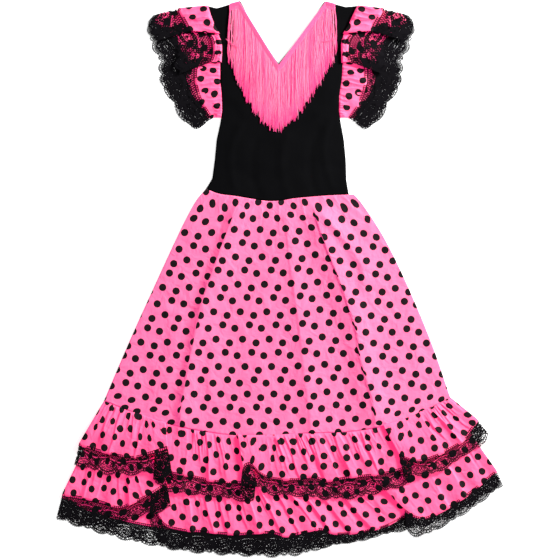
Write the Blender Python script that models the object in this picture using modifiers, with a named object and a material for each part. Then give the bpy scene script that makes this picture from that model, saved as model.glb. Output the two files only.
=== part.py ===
"""Girl's flamenco dress, laid flat on a surface with its front up.

The neck points towards +Y and the hem towards -Y.  The underside of the back pieces is the plane z = 0.
Every piece is a cloth wall cut and sewn as on the real dress: bodice, dotted skirt, two gathered ruffles
edged with scalloped lace, ruffled sleeves edged with wider lace, and a fringe on a band along the V neck.
"""

import math
from functools import lru_cache
from typing import NamedTuple

import bmesh
import bpy
import numpy as np

# Units: every size below is in millimetres, and MM turns it to metres.
MM = 0.001

# Walls and seams
WALL = 1.0
LACE_WALL = 0.9
SEAM_GAP = 0.4
WAIST_GAP = 0.6
ARMHOLE_GAP = 0.6
BACK_SEAM_GAP = 0.9
LAYER_STEP = 2.4
LAYER_GAP = 0.3
FOLD_GAP = 2.0
HEADER_LEAN_LIMIT = 0.3

# Heights of the middle of a wall
BACK_MID = WALL / 2
FRONT_MID = WALL + LAYER_GAP + WALL / 2
BODICE_RISE = 2.5
SKIRT_RISE = 3.5
BACK_TUCK_MID = WALL + LAYER_GAP + WALL / 2
LOWER_RUFFLE_MID = 3.8

# Gathers and waves.  A WANDER shifts them sideways, and an UNEVEN changes their height.
WAIST_GATHERS = 13
WAIST_GATHER_HEIGHT = 0.9
WAIST_GATHER_LENGTH = 0.30
WAIST_GATHER_WANDER = 0.9
WAIST_WANDER_TURNS = 7
RUFFLE_GATHER_PITCH = 14.0
RUFFLE_GATHER_HEIGHT = 0.55
GATHER_WANDER = 3.0
GATHER_WANDER_LENGTH = 19.0
GATHER_UNEVEN = 0.3
GATHER_UNEVEN_LENGTH = 31.0
GATHER_START = 0.12
GATHER_FADE = 0.7
HEM_WAVE_PITCH = 38.0
HEM_WAVE_HEIGHT = 0.5
HEM_WANDER_LENGTH = 47.0
UPPER_WAVE_SHARE = 0.6
LOWER_WAVE_SHARE = 0.7
FOLD_CALM = 26.0
SIDE_CALM = 45.0
SIDE_FADE = 0.08

# Lace
SCALLOP_PITCH = 20.0
SCALLOP_DEPTH = 0.09
SLEEVE_SCALLOP_DEPTH = 0.07

# Fringe
FRINGE_LOCKS = 38
LOCK_SHARE = 0.60
LOCK_THICKNESS = 0.8
LOCK_JAG = 5.0
LOCK_JAG_TURNS = (2.4, 5.1)
FRINGE_GAP = 0.6
BAND_DROP = 15.0
BAND_SHOULDER_DROP = 9.0

# The sleeves mirror each other in this line.
AXIS_X = 3.0
NECK_TIP_Y = 348.0


class BodiceRow(NamedTuple):
    """Left and right edge of the bodice at one height."""

    y: float
    left: float
    right: float


class RuffleRow(NamedTuple):
    """One section of a gathered strip: its place on the seam, its hem, its lace edge, and its fold layer."""

    along: float
    hem_x: float
    hem_y: float
    lace_x: float
    lace_y: float
    layer: float


class Fold(NamedTuple):
    """One long fold of the skirt: its route down the cloth, its height and its width on either side."""

    route: tuple
    height: float
    left_width: float
    right_width: float


BODICE = (
    BodiceRow(442, -117, 129),
    BodiceRow(426, -112, 121),
    BodiceRow(410, -106, 114),
    BodiceRow(395, -97, 104),
    BodiceRow(380, -94, 102),
    BodiceRow(364, -94, 102.5),
    BodiceRow(NECK_TIP_Y, -95, 103),
    BodiceRow(322, -95, 101.5),
    BodiceRow(296, -92.5, 97.5),
    BodiceRow(272, -92, 97),
    BodiceRow(252, -95, 100),
    BodiceRow(225, -101, 105),
    BodiceRow(193, -104, 108),
    BodiceRow(163, -108, 109),
    BodiceRow(142, -118, 113),
)
SHOULDER = ((-117, 442), (-101, 438), (-78, 444.5), (-63, 450), (74, 449), (89, 445), (108, 440), (129, 442))
NECK_LEFT_TOP_X = -63
NECK_RIGHT_TOP_X = 74
NECK_TIP_X = -1
SHOULDER_REACH = 32
SHOULDER_FLAT_FROM = 330
WAIST_REACH = 45

WAIST = (
    (-118, 146), (-98, 138), (-70, 134), (-40, 129), (-16, 126),
    (5, 127), (23, 130), (53, 133), (79, 135), (121, 137),
)
UPPER_SEAM = (
    (-283, -197), (-253, -209), (-227, -219), (-199, -229), (-173, -236), (-128, -245),
    (-78, -252), (-34, -254), (11, -252), (49, -249), (96, -248), (136, -244),
    (176, -235), (215, -223), (235, -213), (257, -202), (277, -191),
)
LOWER_SEAM = (
    (-309, -262), (-280, -272), (-227, -281), (-181, -298), (-118, -309), (57, -308),
    (118, -301), (163, -288), (215, -269), (254, -248), (290, -222),
)
SKIRT_LEFT = ((-118, 146), (-133, 128), (-151, 96), (-167, 63), (-197, -2), (-241, -99), (-283, -197))
SKIRT_RIGHT = ((121, 137), (131, 126), (152, 96), (172, 63), (204, -2), (245, -99), (277, -191))

# The skirt's folds fall from the waist, and the two largest run on into the upper ruffle.
SKIRT_FOLDS = (
    Fold(((-65, 128), (-102, 28), (-125, -40), (-142, -118), (-160, -212)), 4.0, 9, 26),
    Fold(((-108, -83), (-110, -130), (-111, -167)), 1.6, 9, 14),
    Fold(((10, 115), (16, 37), (29, -53), (36, -110), (50, -228)), 2.2, 14, 20),
    Fold(((53, 123), (68, 73), (95, 3), (125, -87), (129, -118), (154, -212)), 5.0, 24, 9),
    Fold(((58, 120), (79, 91), (117, 47), (134, 18)), 1.8, 12, 12),
    Fold(((110, 121), (128, 110), (147, 92)), 1.2, 8, 8),
)
FOLD_LEAD = 10
FOLD_TAIL = 45
FOLD_FADE = 35

UPPER_RUFFLE = (
    RuffleRow(-283, -323, -265, -331, -300, 0),
    RuffleRow(-253, -277, -278, -280, -315, 0),
    RuffleRow(-222, -235, -285, -235, -316, 0.8),
    RuffleRow(-209, -215, -280, -212, -312, 1.5),
    RuffleRow(-199, -197, -274, -191, -319, 2),
    RuffleRow(-184, -180, -269, -170, -322, 2),
    RuffleRow(-183, -180, -272, -173, -329, 1),
    RuffleRow(-194, -200, -283, -202, -322, 1),
    RuffleRow(-195, -200, -287, -203, -326, 0),
    RuffleRow(-180, -180, -307, -180, -342, 0),
    RuffleRow(-142, -141, -316, -141, -348, 0),
    RuffleRow(-107, -97, -325, -97, -353, 0),
    RuffleRow(-76, -57, -326, -58, -359, 0),
    RuffleRow(-55, -37, -324, -40, -359, 0),
    RuffleRow(-54, -38, -322, -41, -356, 1),
    RuffleRow(-65, -58, -306, -63, -348, 1),
    RuffleRow(-66, -58, -301, -63, -342, 2),
    RuffleRow(-57, -47, -295, -44, -332, 2),
    RuffleRow(-44, -31, -310, -29, -339, 1.8),
    RuffleRow(-28, -15, -318, -15, -348, 1),
    RuffleRow(10, 32, -321, 32, -351, 0.5),
    RuffleRow(28, 53, -316, 57, -354, 0.5),
    RuffleRow(45, 76, -323, 79, -356, 0.2),
    RuffleRow(83, 115, -317, 121, -354, 0.3),
    RuffleRow(125, 157, -313, 163, -345, 0),
    RuffleRow(162, 194, -305, 201, -334, 0),
    RuffleRow(180, 210, -298, 217, -327, 0),
    RuffleRow(181, 210, -295, 217, -324, 1),
    RuffleRow(170, 194, -285, 202, -322, 1),
    RuffleRow(169, 193, -281, 202, -317, 2),
    RuffleRow(182, 206, -287, 215, -316, 2),
    RuffleRow(196, 222, -291, 231, -317, 1.6),
    RuffleRow(212, 244, -286, 254, -313, 1),
    RuffleRow(233, 270, -274, 282, -298, 0.5),
    RuffleRow(251, 295, -259, 312, -277, 0.2),
    RuffleRow(264, 309, -241, 330, -270, 0),
    RuffleRow(277, 319, -225, 338, -248, 0),
)
UPPER_TURNS = (-188, -48, 202)

LOWER_RUFFLE = (
    RuffleRow(-309, -350, -346, -359, -387, 0),
    RuffleRow(-285, -309, -353, -316, -397, 0),
    RuffleRow(-272, -283, -359, -288, -400, 0.2),
    RuffleRow(-256, -259, -367, -259, -397, 0.8),
    RuffleRow(-241, -235, -358, -230, -385, 1.4),
    RuffleRow(-227, -209, -345, -201, -376, 2),
    RuffleRow(-206, -183, -330, -175, -363, 2),
    RuffleRow(-205, -181, -333, -175, -369, 1),
    RuffleRow(-216, -206, -345, -207, -383, 1),
    RuffleRow(-217, -207, -347, -210, -390, 0),
    RuffleRow(-196, -186, -393, -187, -432, 0),
    RuffleRow(-178, -163, -402, -165, -439, 0),
    RuffleRow(-139, -118, -406, -118, -444, 0),
    RuffleRow(-97, -70, -410, -71, -447, 0.3),
    RuffleRow(-58, -11, -407, -10, -449, 1.2),
    RuffleRow(-40, 11, -413, 13, -448, 0.8),
    RuffleRow(-21, 39, -407, 39, -445, 0.5),
    RuffleRow(-2, 66, -402, 65, -437, 0.8),
    RuffleRow(18, 92, -409, 89, -429, 0.2),
    RuffleRow(57, 136, -406, 134, -424, 0),
    RuffleRow(99, 181, -393, 180, -406, 0),
    RuffleRow(138, 217, -367, 215, -397, 0),
    RuffleRow(139, 217, -364, 215, -392, 1),
    RuffleRow(128, 203, -370, 204, -405, 1),
    RuffleRow(127, 203, -371, 206, -408, 2),
    RuffleRow(145, 218, -381, 223, -416, 2),
    RuffleRow(165, 235, -384, 246, -410, 1.5),
    RuffleRow(190, 256, -376, 269, -398, 0.8),
    RuffleRow(235, 299, -350, 314, -371, 0.2),
    RuffleRow(290, 351, -308, 363, -333, 0),
)
LOWER_TURNS = (-190, 209)

# Height of the upper ruffle's hem along the dress, where it rides over the folded places of the lower ruffle.
# It has come up to that height at this share of its way down.
UPPER_RIDE_DOWN = 0.75
UPPER_HEM_HEIGHT = (
    (-340, 6.3), (-300, 7.2), (-268, 10.5), (-165, 10.5), (-125, 7.4), (-80, 8.9), (10, 8.9), (60, 7.8),
    (92, 7.6), (112, 10.0), (135, 10.5), (250, 10.5), (290, 8.6), (320, 7.0), (345, 6.3),
)

SLEEVE = (
    RuffleRow(442, -160, 438, -202, 427, 2),
    RuffleRow(429, -154, 426, -213, 410, 2),
    RuffleRow(416, -147, 413, -210, 393, 2),
    RuffleRow(398, -141, 401, -196, 384, 2),
    RuffleRow(397, -141, 402, -196, 386, 1),
    RuffleRow(404, -133, 418, -190, 404, 1),
    RuffleRow(405, -132, 417, -189, 402, 0),
    RuffleRow(393, -120, 402, -176, 384, 0),
    RuffleRow(384, -107, 392, -167, 364, 1.2),
    RuffleRow(372, -102, 374, -167, 350, 2),
    RuffleRow(363, -104, 359, -167, 338, 2),
    RuffleRow(351, -108, 351, -163, 330, 2),
    RuffleRow(350, -109, 352, -164, 330, 1),
    RuffleRow(356, -116, 360, -173, 349, 1),
    RuffleRow(357, -117, 358, -175, 349, 0),
    RuffleRow(344, -131, 342, -193, 341, 0),
    RuffleRow(325, -132, 322, -192, 322, 0),
    RuffleRow(309, -129, 304, -181, 298, 0),
    RuffleRow(293, -124, 290, -170, 277, 0),
    RuffleRow(277, -116, 275, -154, 254, 0),
    RuffleRow(261, -106, 261, -134, 239, 0),
)
SLEEVE_BACK = (
    RuffleRow(442, -188, 431, -202, 427, 0),
    RuffleRow(425, -196, 416, -212, 413, 0),
    RuffleRow(407, -176, 402, -212, 393, 0),
    RuffleRow(365, -150, 360, -197, 354, 0),
    RuffleRow(325, -146, 322, -191, 322, 0),
    RuffleRow(300, -138, 300, -181, 296, 0),
    RuffleRow(261, -110, 262, -138, 241, 0),
)
UPPER_RUFFLE_BACK = (
    RuffleRow(-283, -322, -265, -331, -300, 0),
    RuffleRow(-238, -274, -285, -279, -321, 0),
    RuffleRow(-173, -209, -304, -212, -340, 0),
    RuffleRow(-78, -96, -324, -97, -360, 0),
    RuffleRow(11, 12, -326, 13, -362, 0),
    RuffleRow(96, 115, -320, 119, -356, 0),
    RuffleRow(176, 200, -302, 208, -337, 0),
    RuffleRow(235, 271, -271, 284, -304, 0),
    RuffleRow(277, 318, -227, 338, -248, 0),
)
LOWER_RUFFLE_BACK = (
    RuffleRow(-309, -351, -350, -361, -388, 0),
    RuffleRow(-283, -306, -372, -312, -405, 0),
    RuffleRow(-227, -239, -391, -243, -424, 0),
    RuffleRow(-181, -186, -400, -186, -435, 0),
    RuffleRow(-118, -115, -407, -114, -442, 0),
    RuffleRow(-30, -20, -410, -18, -446, 0),
    RuffleRow(57, 75, -404, 79, -434, 0),
    RuffleRow(118, 150, -395, 155, -418, 0),
    RuffleRow(163, 205, -383, 213, -405, 0),
    RuffleRow(215, 262, -361, 274, -388, 0),
    RuffleRow(254, 310, -334, 324, -357, 0),
    RuffleRow(290, 349, -309, 361, -332, 0),
)

FRINGE_LEFT_ROOT = ((-80, 442), (-65, 446), (-3, 345))
FRINGE_LEFT_TIPS = ((-84, 362), (-70, 325), (-52, 291), (-36, 265), (-18, 248), (-3, 241))
FRINGE_RIGHT_ROOT = ((1.5, 345), (76, 446), (91, 442))
FRINGE_RIGHT_TIPS = ((1.5, 241), (28, 262), (44, 285), (62, 312), (76, 335), (92, 366))
FRINGE_BOW = 3.5
FRINGE_BOW_REACH = 14
FRINGE_BOW_TURN = 0.8

BODICE_COLUMNS = 8
BODICE_BACK_COLUMNS = 5
SKIRT_COLUMNS = 36
SKIRT_ROWS = 11
SPAN_STEPS = 3
CENTRIPETAL = 0.5
SHORTEST_STEP = 0.01
RUFFLE_DOWN = (0.0, 0.16, 0.36, 0.68, 1.0)
SLEEVE_DOWN = (0.0, 0.4, 1.0)
BACK_TUCK_DOWN = (0.0, 0.64, 0.8, 0.96, 1.0)

COLLECTION = "flamenco_dress"
COLOURS = {
    "bodice_jersey": ((0.0048, 0.0048, 0.0056, 1.0), 0.85),
    "dotted_cotton": ((0.973, 0.262, 0.533, 1.0), 0.75),
    "black_lace": ((0.0110, 0.0100, 0.0120, 1.0), 0.70),
    "pink_fringe": ((0.991, 0.227, 0.468, 1.0), 0.45),
}


def smoothstep(value):
    """Ease from 0 to 1 as the value goes from 0 to 1."""
    value = min(max(value, 0.0), 1.0)
    return value * value * (3 - 2 * value)


def tangents(rows):
    """Slopes of a smooth curve through uneven rows.  The last of six values keeps its level stretches."""
    lengths = [max(float(np.linalg.norm(b - a)), SHORTEST_STEP) for a, b in zip(rows, rows[1:])]
    steps = [length ** CENTRIPETAL for length in lengths]
    slopes = [(b - a) / h for a, b, h in zip(rows, rows[1:], steps)]
    inner = []
    for i in range(len(slopes) - 1):
        before, after = slopes[i], slopes[i + 1]
        slope = (before * steps[i + 1] + after * steps[i]) / (steps[i] + steps[i + 1])
        if len(slope) == len(RuffleRow._fields) and before[-1] * after[-1] <= 0:
            slope[-1] = 0.0
        inner.append(slope)
    return steps, [slopes[0], *inner, slopes[-1]]


def smooth_row(rows, place):
    """Row of numbers at a place, where place 2.5 lies halfway between rows 2 and 3."""
    steps, slopes = tangents(rows)
    span = min(int(place), len(rows) - 2)
    part = place - span
    run = steps[span]
    start, end = rows[span], rows[span + 1]
    keep = (1 + 2 * part) * (1 - part) ** 2
    rise = part * (1 - part) ** 2
    fall = part * part * (part - 1)
    return keep * start + rise * run * slopes[span] + (1 - keep) * end + fall * run * slopes[span + 1]


@lru_cache(maxsize=None)
def smooth_curve(points, steps=8):
    """Points of a smooth curve through the given ones."""
    rows = [np.array(p, float) for p in points]
    places = [i / steps for i in range((len(rows) - 1) * steps + 1)]
    return np.array([smooth_row(rows, p) for p in places])


def at_length(curve, share):
    """Point of a curve at a share of its length."""
    runs = np.linalg.norm(np.diff(curve, axis=0), axis=1)
    reach = np.concatenate(([0.0], np.cumsum(runs)))
    want = share * reach[-1]
    return np.array([np.interp(want, reach, curve[:, i]) for i in range(curve.shape[1])])


def height_at(curve, x):
    """Second value of a curve whose first value only grows."""
    return float(np.interp(x, curve[:, 0], curve[:, 1]))


def linked(name, mesh, material, thickness=None):
    """Make an object of the mesh, with its material and a wall of the given thickness."""
    for face in mesh.polygons:
        face.use_smooth = True
    part = bpy.data.objects.new(name, mesh)
    bpy.data.collections[COLLECTION].objects.link(part)
    mesh.materials.append(bpy.data.materials[material])
    if thickness:
        wall = part.modifiers.new("cloth wall", "SOLIDIFY")
        wall.thickness = thickness * MM
        wall.offset = 0.0
    return part


def cloth(name, grid, material, thickness=WALL):
    """Make a cloth wall from rows of points, the rows running across the cloth."""
    shape = bmesh.new()
    rows = [[shape.verts.new((x * MM, y * MM, z * MM)) for x, y, z in row] for row in grid]
    for upper, lower in zip(rows, rows[1:]):
        for i in range(len(upper) - 1):
            shape.faces.new((upper[i], lower[i], lower[i + 1], upper[i + 1]))
    mesh = bpy.data.meshes.new(name)
    shape.to_mesh(mesh)
    shape.free()
    return linked(name, mesh, material, thickness)


def crown(share, rise):
    """Rise of a front panel over the back: none at its side seams, most along its middle."""
    return rise * (1 - abs(2 * share - 1) ** 3)


def bodice_edge(y, side):
    """Left or right edge of the bodice, straight between its rows."""
    rows = sorted(BODICE)
    return float(np.interp(y, [r.y for r in rows], [getattr(r, side) for r in rows]))


def bodice_height(x, y):
    """Height of the middle of the front bodice's wall."""
    left, right = bodice_edge(y, "left"), bodice_edge(y, "right")
    share = (x - left) / (right - left)
    flat = smoothstep((y - SHOULDER_FLAT_FROM) / (BODICE[0].y - SHOULDER_FLAT_FROM))
    return FRONT_MID + crown(min(max(share, 0), 1), BODICE_RISE) * (1 - flat)


def neck_x(y, side):
    """Edge of the V neck at a height above its tip."""
    top = NECK_LEFT_TOP_X if side == "left" else NECK_RIGHT_TOP_X
    share = max(y - NECK_TIP_Y, 0) / (BODICE[0].y - NECK_TIP_Y)
    return NECK_TIP_X + (top - NECK_TIP_X) * share


def bodice(name, height, columns=BODICE_COLUMNS):
    """Bodice panel with shoulder straps on either side of the V neck."""
    shoulder = np.array(SHOULDER, float)
    waist = waist_points()
    shape = bmesh.new()

    def point(row, x):
        top = smoothstep(1 - (BODICE[0].y - row.y) / SHOULDER_REACH)
        low = smoothstep(1 - (row.y - BODICE[-1].y) / WAIST_REACH)
        y = row.y + top * (height_at(shoulder, x) - BODICE[0].y)
        y += low * (height_at(waist, x) + WAIST_GAP - BODICE[-1].y)
        return shape.verts.new((x * MM, y * MM, height(x, row.y) * MM))

    left_rows, right_rows = [], []
    for row in BODICE:
        inner_left, inner_right = neck_x(row.y, "left"), neck_x(row.y, "right")
        shares = [i / columns for i in range(columns + 1)]
        left = [point(row, row.left + (inner_left - row.left) * share) for share in shares]
        right = [point(row, inner_right + (row.right - inner_right) * share) for share in shares]
        if row.y <= NECK_TIP_Y:
            shape.verts.remove(right[0])
            right[0] = left[-1]
        left_rows.append(left)
        right_rows.append(right)
    for rows in (left_rows, right_rows):
        for upper, lower in zip(rows, rows[1:]):
            for i in range(columns):
                shape.faces.new((upper[i], lower[i], lower[i + 1], upper[i + 1]))
    mesh = bpy.data.meshes.new(name)
    shape.to_mesh(mesh)
    shape.free()
    return linked(name, mesh, "bodice_jersey", WALL)


@lru_cache(maxsize=None)
def waist_points():
    """Waist edge of the skirt at its columns."""
    curve = smooth_curve(WAIST)
    return np.array([at_length(curve, i / SKIRT_COLUMNS) for i in range(SKIRT_COLUMNS + 1)])


@lru_cache(maxsize=None)
def seam_points():
    """Lower edge of the skirt at its columns, where the upper ruffle is sewn."""
    curve = smooth_curve(UPPER_SEAM)
    return np.array([at_length(curve, i / SKIRT_COLUMNS) for i in range(SKIRT_COLUMNS + 1)])


def skirt_place(share, down):
    """Place on the skirt between its waist, its hem and its two side seams."""
    waist, seam = waist_points(), seam_points()
    left, right = smooth_curve(SKIRT_LEFT), smooth_curve(SKIRT_RIGHT)
    across = share * SKIRT_COLUMNS
    index = min(int(across), SKIRT_COLUMNS - 1)
    part = across - index
    top = waist[index] * (1 - part) + waist[index + 1] * part
    low = seam[index] * (1 - part) + seam[index + 1] * part
    sides = at_length(left, down) * (1 - share) + at_length(right, down) * share
    upper = waist[0] * (1 - share) + waist[-1] * share
    lower = seam[0] * (1 - share) + seam[-1] * share
    return top * (1 - down) + low * down + sides - upper * (1 - down) - lower * down


def fold_height(x, y):
    """Height that the skirt's long folds add at a place."""
    total = 0.0
    for fold in SKIRT_FOLDS:
        route = smooth_curve(fold.route)[::-1]
        ridge_x = float(np.interp(y, route[:, 1], route[:, 0]))
        off = x - ridge_x
        width = fold.left_width if off < 0 else fold.right_width
        top, low = route[-1, 1], route[0, 1]
        ends = smoothstep((top + FOLD_LEAD - y) / FOLD_FADE) * smoothstep((y - low + FOLD_TAIL) / FOLD_FADE)
        total += fold.height * math.exp(-((off / width) ** 2)) * ends
    return total


def skirt_height(x, y, share, down):
    """Height of the middle of the front skirt's wall."""
    sides = smoothstep(share / SIDE_FADE) * smoothstep((1 - share) / SIDE_FADE)
    rise = BODICE_RISE + (SKIRT_RISE - BODICE_RISE) * down
    wander = WAIST_GATHER_WANDER * math.sin(WAIST_WANDER_TURNS * share)
    wave = (1 + math.sin(2 * math.pi * WAIST_GATHERS * share + wander)) / 2
    gathered = WAIST_GATHER_HEIGHT * wave * (1 - smoothstep(down / WAIST_GATHER_LENGTH))
    return FRONT_MID + crown(share, rise) + sides * (fold_height(x, y) + gathered)


def skirt(name, columns, rows, front):
    """Skirt panel, widening from the waist to the seam of the upper ruffle."""
    grid = []
    for j in range(rows + 1):
        line = []
        for i in range(columns + 1):
            share, down = i / columns, j / rows
            x, y = skirt_place(share, down)
            line.append((x, y, skirt_height(x, y, share, down) if front else BACK_MID))
        grid.append(line)
    return cloth(name, grid, "dotted_cotton")


def strip_rows(table):
    """Rows of a gathered strip at its fine steps, with smooth folds between the table's rows."""
    rows = [np.array(r, float) for r in table]
    scaled = [r * np.array([1, 1, 1, 1, 1, LAYER_STEP]) for r in rows]
    places = [i / SPAN_STEPS for i in range((len(rows) - 1) * SPAN_STEPS + 1)]
    fine = np.array([smooth_row(scaled, p) for p in places])
    fine[:, 5] = np.clip(fine[:, 5], 0, 2 * LAYER_STEP)
    return fine


def calm(x, turns):
    """How freely the cloth may wave: not at all where it is folded over itself."""
    return min([1.0, *[smoothstep((abs(x - t) - FOLD_CALM) / FOLD_CALM) for t in turns]])


def gathers(along, down):
    """Small ridges that start at a gathered seam and die out downwards, uneven in height and spacing."""
    place = along + GATHER_WANDER * math.sin(along / GATHER_WANDER_LENGTH)
    uneven = 1 - GATHER_UNEVEN + GATHER_UNEVEN * math.sin(along / GATHER_UNEVEN_LENGTH)
    swell = math.sqrt(math.sin(math.pi * min(GATHER_START + down, 1.0))) * (1 - GATHER_FADE * down)
    return RUFFLE_GATHER_HEIGHT * uneven * math.sin(2 * math.pi * place / RUFFLE_GATHER_PITCH) * swell


def hem_waves(x, down):
    """Soft waves along a hem."""
    phase = 2 * math.pi * x / HEM_WAVE_PITCH + math.sin(x / HEM_WANDER_LENGTH)
    return HEM_WAVE_HEIGHT * math.sin(phase) * smoothstep(down)


def upper_hem_height(x):
    """Height at which the upper ruffle's hem rides over the lower ruffle."""
    return height_at(np.array(UPPER_HEM_HEIGHT), x)


def upper_height(row, seam, x, down):
    """Height of the upper front ruffle: from the skirt's edge up over the lower ruffle."""
    first, last = UPPER_SEAM[0][0], UPPER_SEAM[-1][0]
    start = FRONT_MID + crown((row[0] - first) / (last - first), SKIRT_RISE)
    start += fold_height(row[0], seam[1]) * smoothstep(min(row[0] - first, last - row[0]) / SIDE_CALM)
    base = start + (upper_hem_height(x) - start) * smoothstep(down / UPPER_RIDE_DOWN)
    free = calm(x, UPPER_TURNS)
    return base + row[5] + free * (gathers(row[0], down) + hem_waves(x, down) * UPPER_WAVE_SHARE)


def lower_height(row, seam, x, down):
    """Height of the lower front ruffle, whose top edge is tucked under the upper one."""
    free = calm(x, LOWER_TURNS) * LOWER_WAVE_SHARE
    return LOWER_RUFFLE_MID + row[5] + free * (gathers(row[0], down) + hem_waves(x, down))


def back_upper_height(row, seam, x, down):
    """Height of a back piece that lies on the surface."""
    return BACK_MID


def back_lower_height(row, seam, x, down):
    """Height of the lower back ruffle: tucked over the upper one's hem and lace, then flat on the surface."""
    start, end = BACK_TUCK_DOWN[1], BACK_TUCK_DOWN[-2]
    return BACK_TUCK_MID + (BACK_MID - BACK_TUCK_MID) * smoothstep((down - start) / (end - start))


def sleeve_height(row, seam, x, down):
    """Height of a front sleeve ruffle."""
    return FRONT_MID + row[5]


def mirrored(table):
    """Same strip on the other sleeve."""
    flip = 2 * AXIS_X
    return tuple(r._replace(hem_x=flip - r.hem_x, lace_x=flip - r.lace_x) for r in table)


def ruffle(name, table, seam_of, height, downs):
    """Gathered strip from its seam to its hem."""
    rows = strip_rows(table)
    grid = []
    for down in downs:
        line = []
        for row in rows:
            seam = seam_of(row[0])
            x = seam[0] + (row[1] - seam[0]) * down
            y = seam[1] + (row[2] - seam[1]) * down
            line.append((x, y, height(row, seam, x, down)))
        grid.append(line)
    return cloth(name, grid, "dotted_cotton")


def lace(name, table, seam_of, height, depth):
    """Lace edging butted to a strip's hem, with its free edge scalloped."""
    rows = strip_rows(table)
    hems = np.array([(r[1], r[2], height(r, seam_of(r[0]), r[1], 1.0)) for r in rows])
    along = np.gradient(hems, axis=0)
    runs = np.concatenate(([0.0], np.cumsum(np.linalg.norm(np.diff(hems[:, :2], axis=0), axis=1))))
    header, edge = [], []
    along /= np.linalg.norm(along, axis=1)[:, None]
    steep = np.abs(along[:, 2])
    steep = np.maximum(steep, np.maximum(np.roll(steep, 1), np.roll(steep, -1)))
    for row, hem, way, run, turn in zip(rows, hems, along, runs, steep):
        reach = np.array((row[3] - hem[0], row[4] - hem[1], 0.0))
        out = reach / np.linalg.norm(reach)
        lean = max(float(np.linalg.norm(np.cross(way, out))), HEADER_LEAN_LIMIT)
        gap = SEAM_GAP / lean + turn * FOLD_GAP
        scallop = abs(math.sin(math.pi * run / SCALLOP_PITCH))
        header.append(hem + out * gap)
        edge.append(hem + reach * (1 - depth * (1 - scallop)))
    return cloth(name, [header, edge], "black_lace", LACE_WALL)


def seam_below(points, gap=SEAM_GAP):
    """Place just under an edge, at a given x."""
    return lambda x: np.array([x, height_at(points, x) - gap])


def armhole(side):
    """Place just outside the bodice's armhole, at a given y."""
    out = -ARMHOLE_GAP if side == "left" else ARMHOLE_GAP
    return lambda y: np.array([bodice_edge(y, side) + out, y])


def fringe(name, root, tips, side):
    """Band along one side of the V neck, with the fringe's locks hanging from it."""
    root, tips = np.array(root, float), np.array(tips, float)
    first, last = root[0, 0], root[-1, 0]
    outer, top_x = (first, root[1, 0]) if side == "left" else (last, root[-2, 0])
    pitch = (last - first) / FRINGE_LOCKS
    shape = bmesh.new()
    raised = WALL / 2 + FRINGE_GAP + LOCK_THICKNESS / 2

    def vertex(x, y):
        return shape.verts.new((x * MM, y * MM, (bodice_height(x, y) + raised) * MM))

    def drop(x):
        share = min(max((x - outer) / (top_x - outer), 0), 1)
        return BAND_SHOULDER_DROP + (BAND_DROP - BAND_SHOULDER_DROP) * share

    band = []
    for i in range(FRINGE_LOCKS):
        for share in ((1 - LOCK_SHARE) / 2, (1 + LOCK_SHARE) / 2):
            x = first + (i + share) * pitch
            y = height_at(root, x)
            band.append((vertex(x, y), vertex(x, y - drop(x)), x, y - drop(x)))
    for (top_a, low_a, _, _), (top_b, low_b, _, _) in zip(band, band[1:]):
        shape.faces.new((top_a, low_a, low_b, top_b))
    for i in range(FRINGE_LOCKS):
        left, right = band[2 * i], band[2 * i + 1]
        jag = LOCK_JAG * abs(math.sin(LOCK_JAG_TURNS[0] * i) * math.cos(LOCK_JAG_TURNS[1] * i))
        tip_y = height_at(tips, (left[2] + right[2]) / 2) + jag
        bow = FRINGE_BOW * smoothstep(1 - abs(left[2] - outer) / FRINGE_BOW_REACH) * (-1 if outer < 0 else 1)
        upper = (left[1], right[1])
        for down in (0.5, 1.0):
            lean = bow * math.sin(math.pi * FRINGE_BOW_TURN * down)
            lower = tuple(vertex(rim[2] + lean, rim[3] + (tip_y - rim[3]) * down) for rim in (left, right))
            shape.faces.new((upper[0], lower[0], lower[1], upper[1]))
            upper = lower
    mesh = bpy.data.meshes.new(name)
    shape.to_mesh(mesh)
    shape.free()
    return linked(name, mesh, "pink_fringe", LOCK_THICKNESS)


def make_materials():
    """Plain finishes: matt jersey, printed cotton, lace and shiny fringe yarn."""
    for name, (colour, roughness) in COLOURS.items():
        material = bpy.data.materials.new(name)
        material.use_nodes = True
        shader = material.node_tree.nodes["Principled BSDF"]
        shader.inputs["Base Color"].default_value = colour
        shader.inputs["Roughness"].default_value = roughness
        shader.inputs["Metallic"].default_value = 0.0


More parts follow.
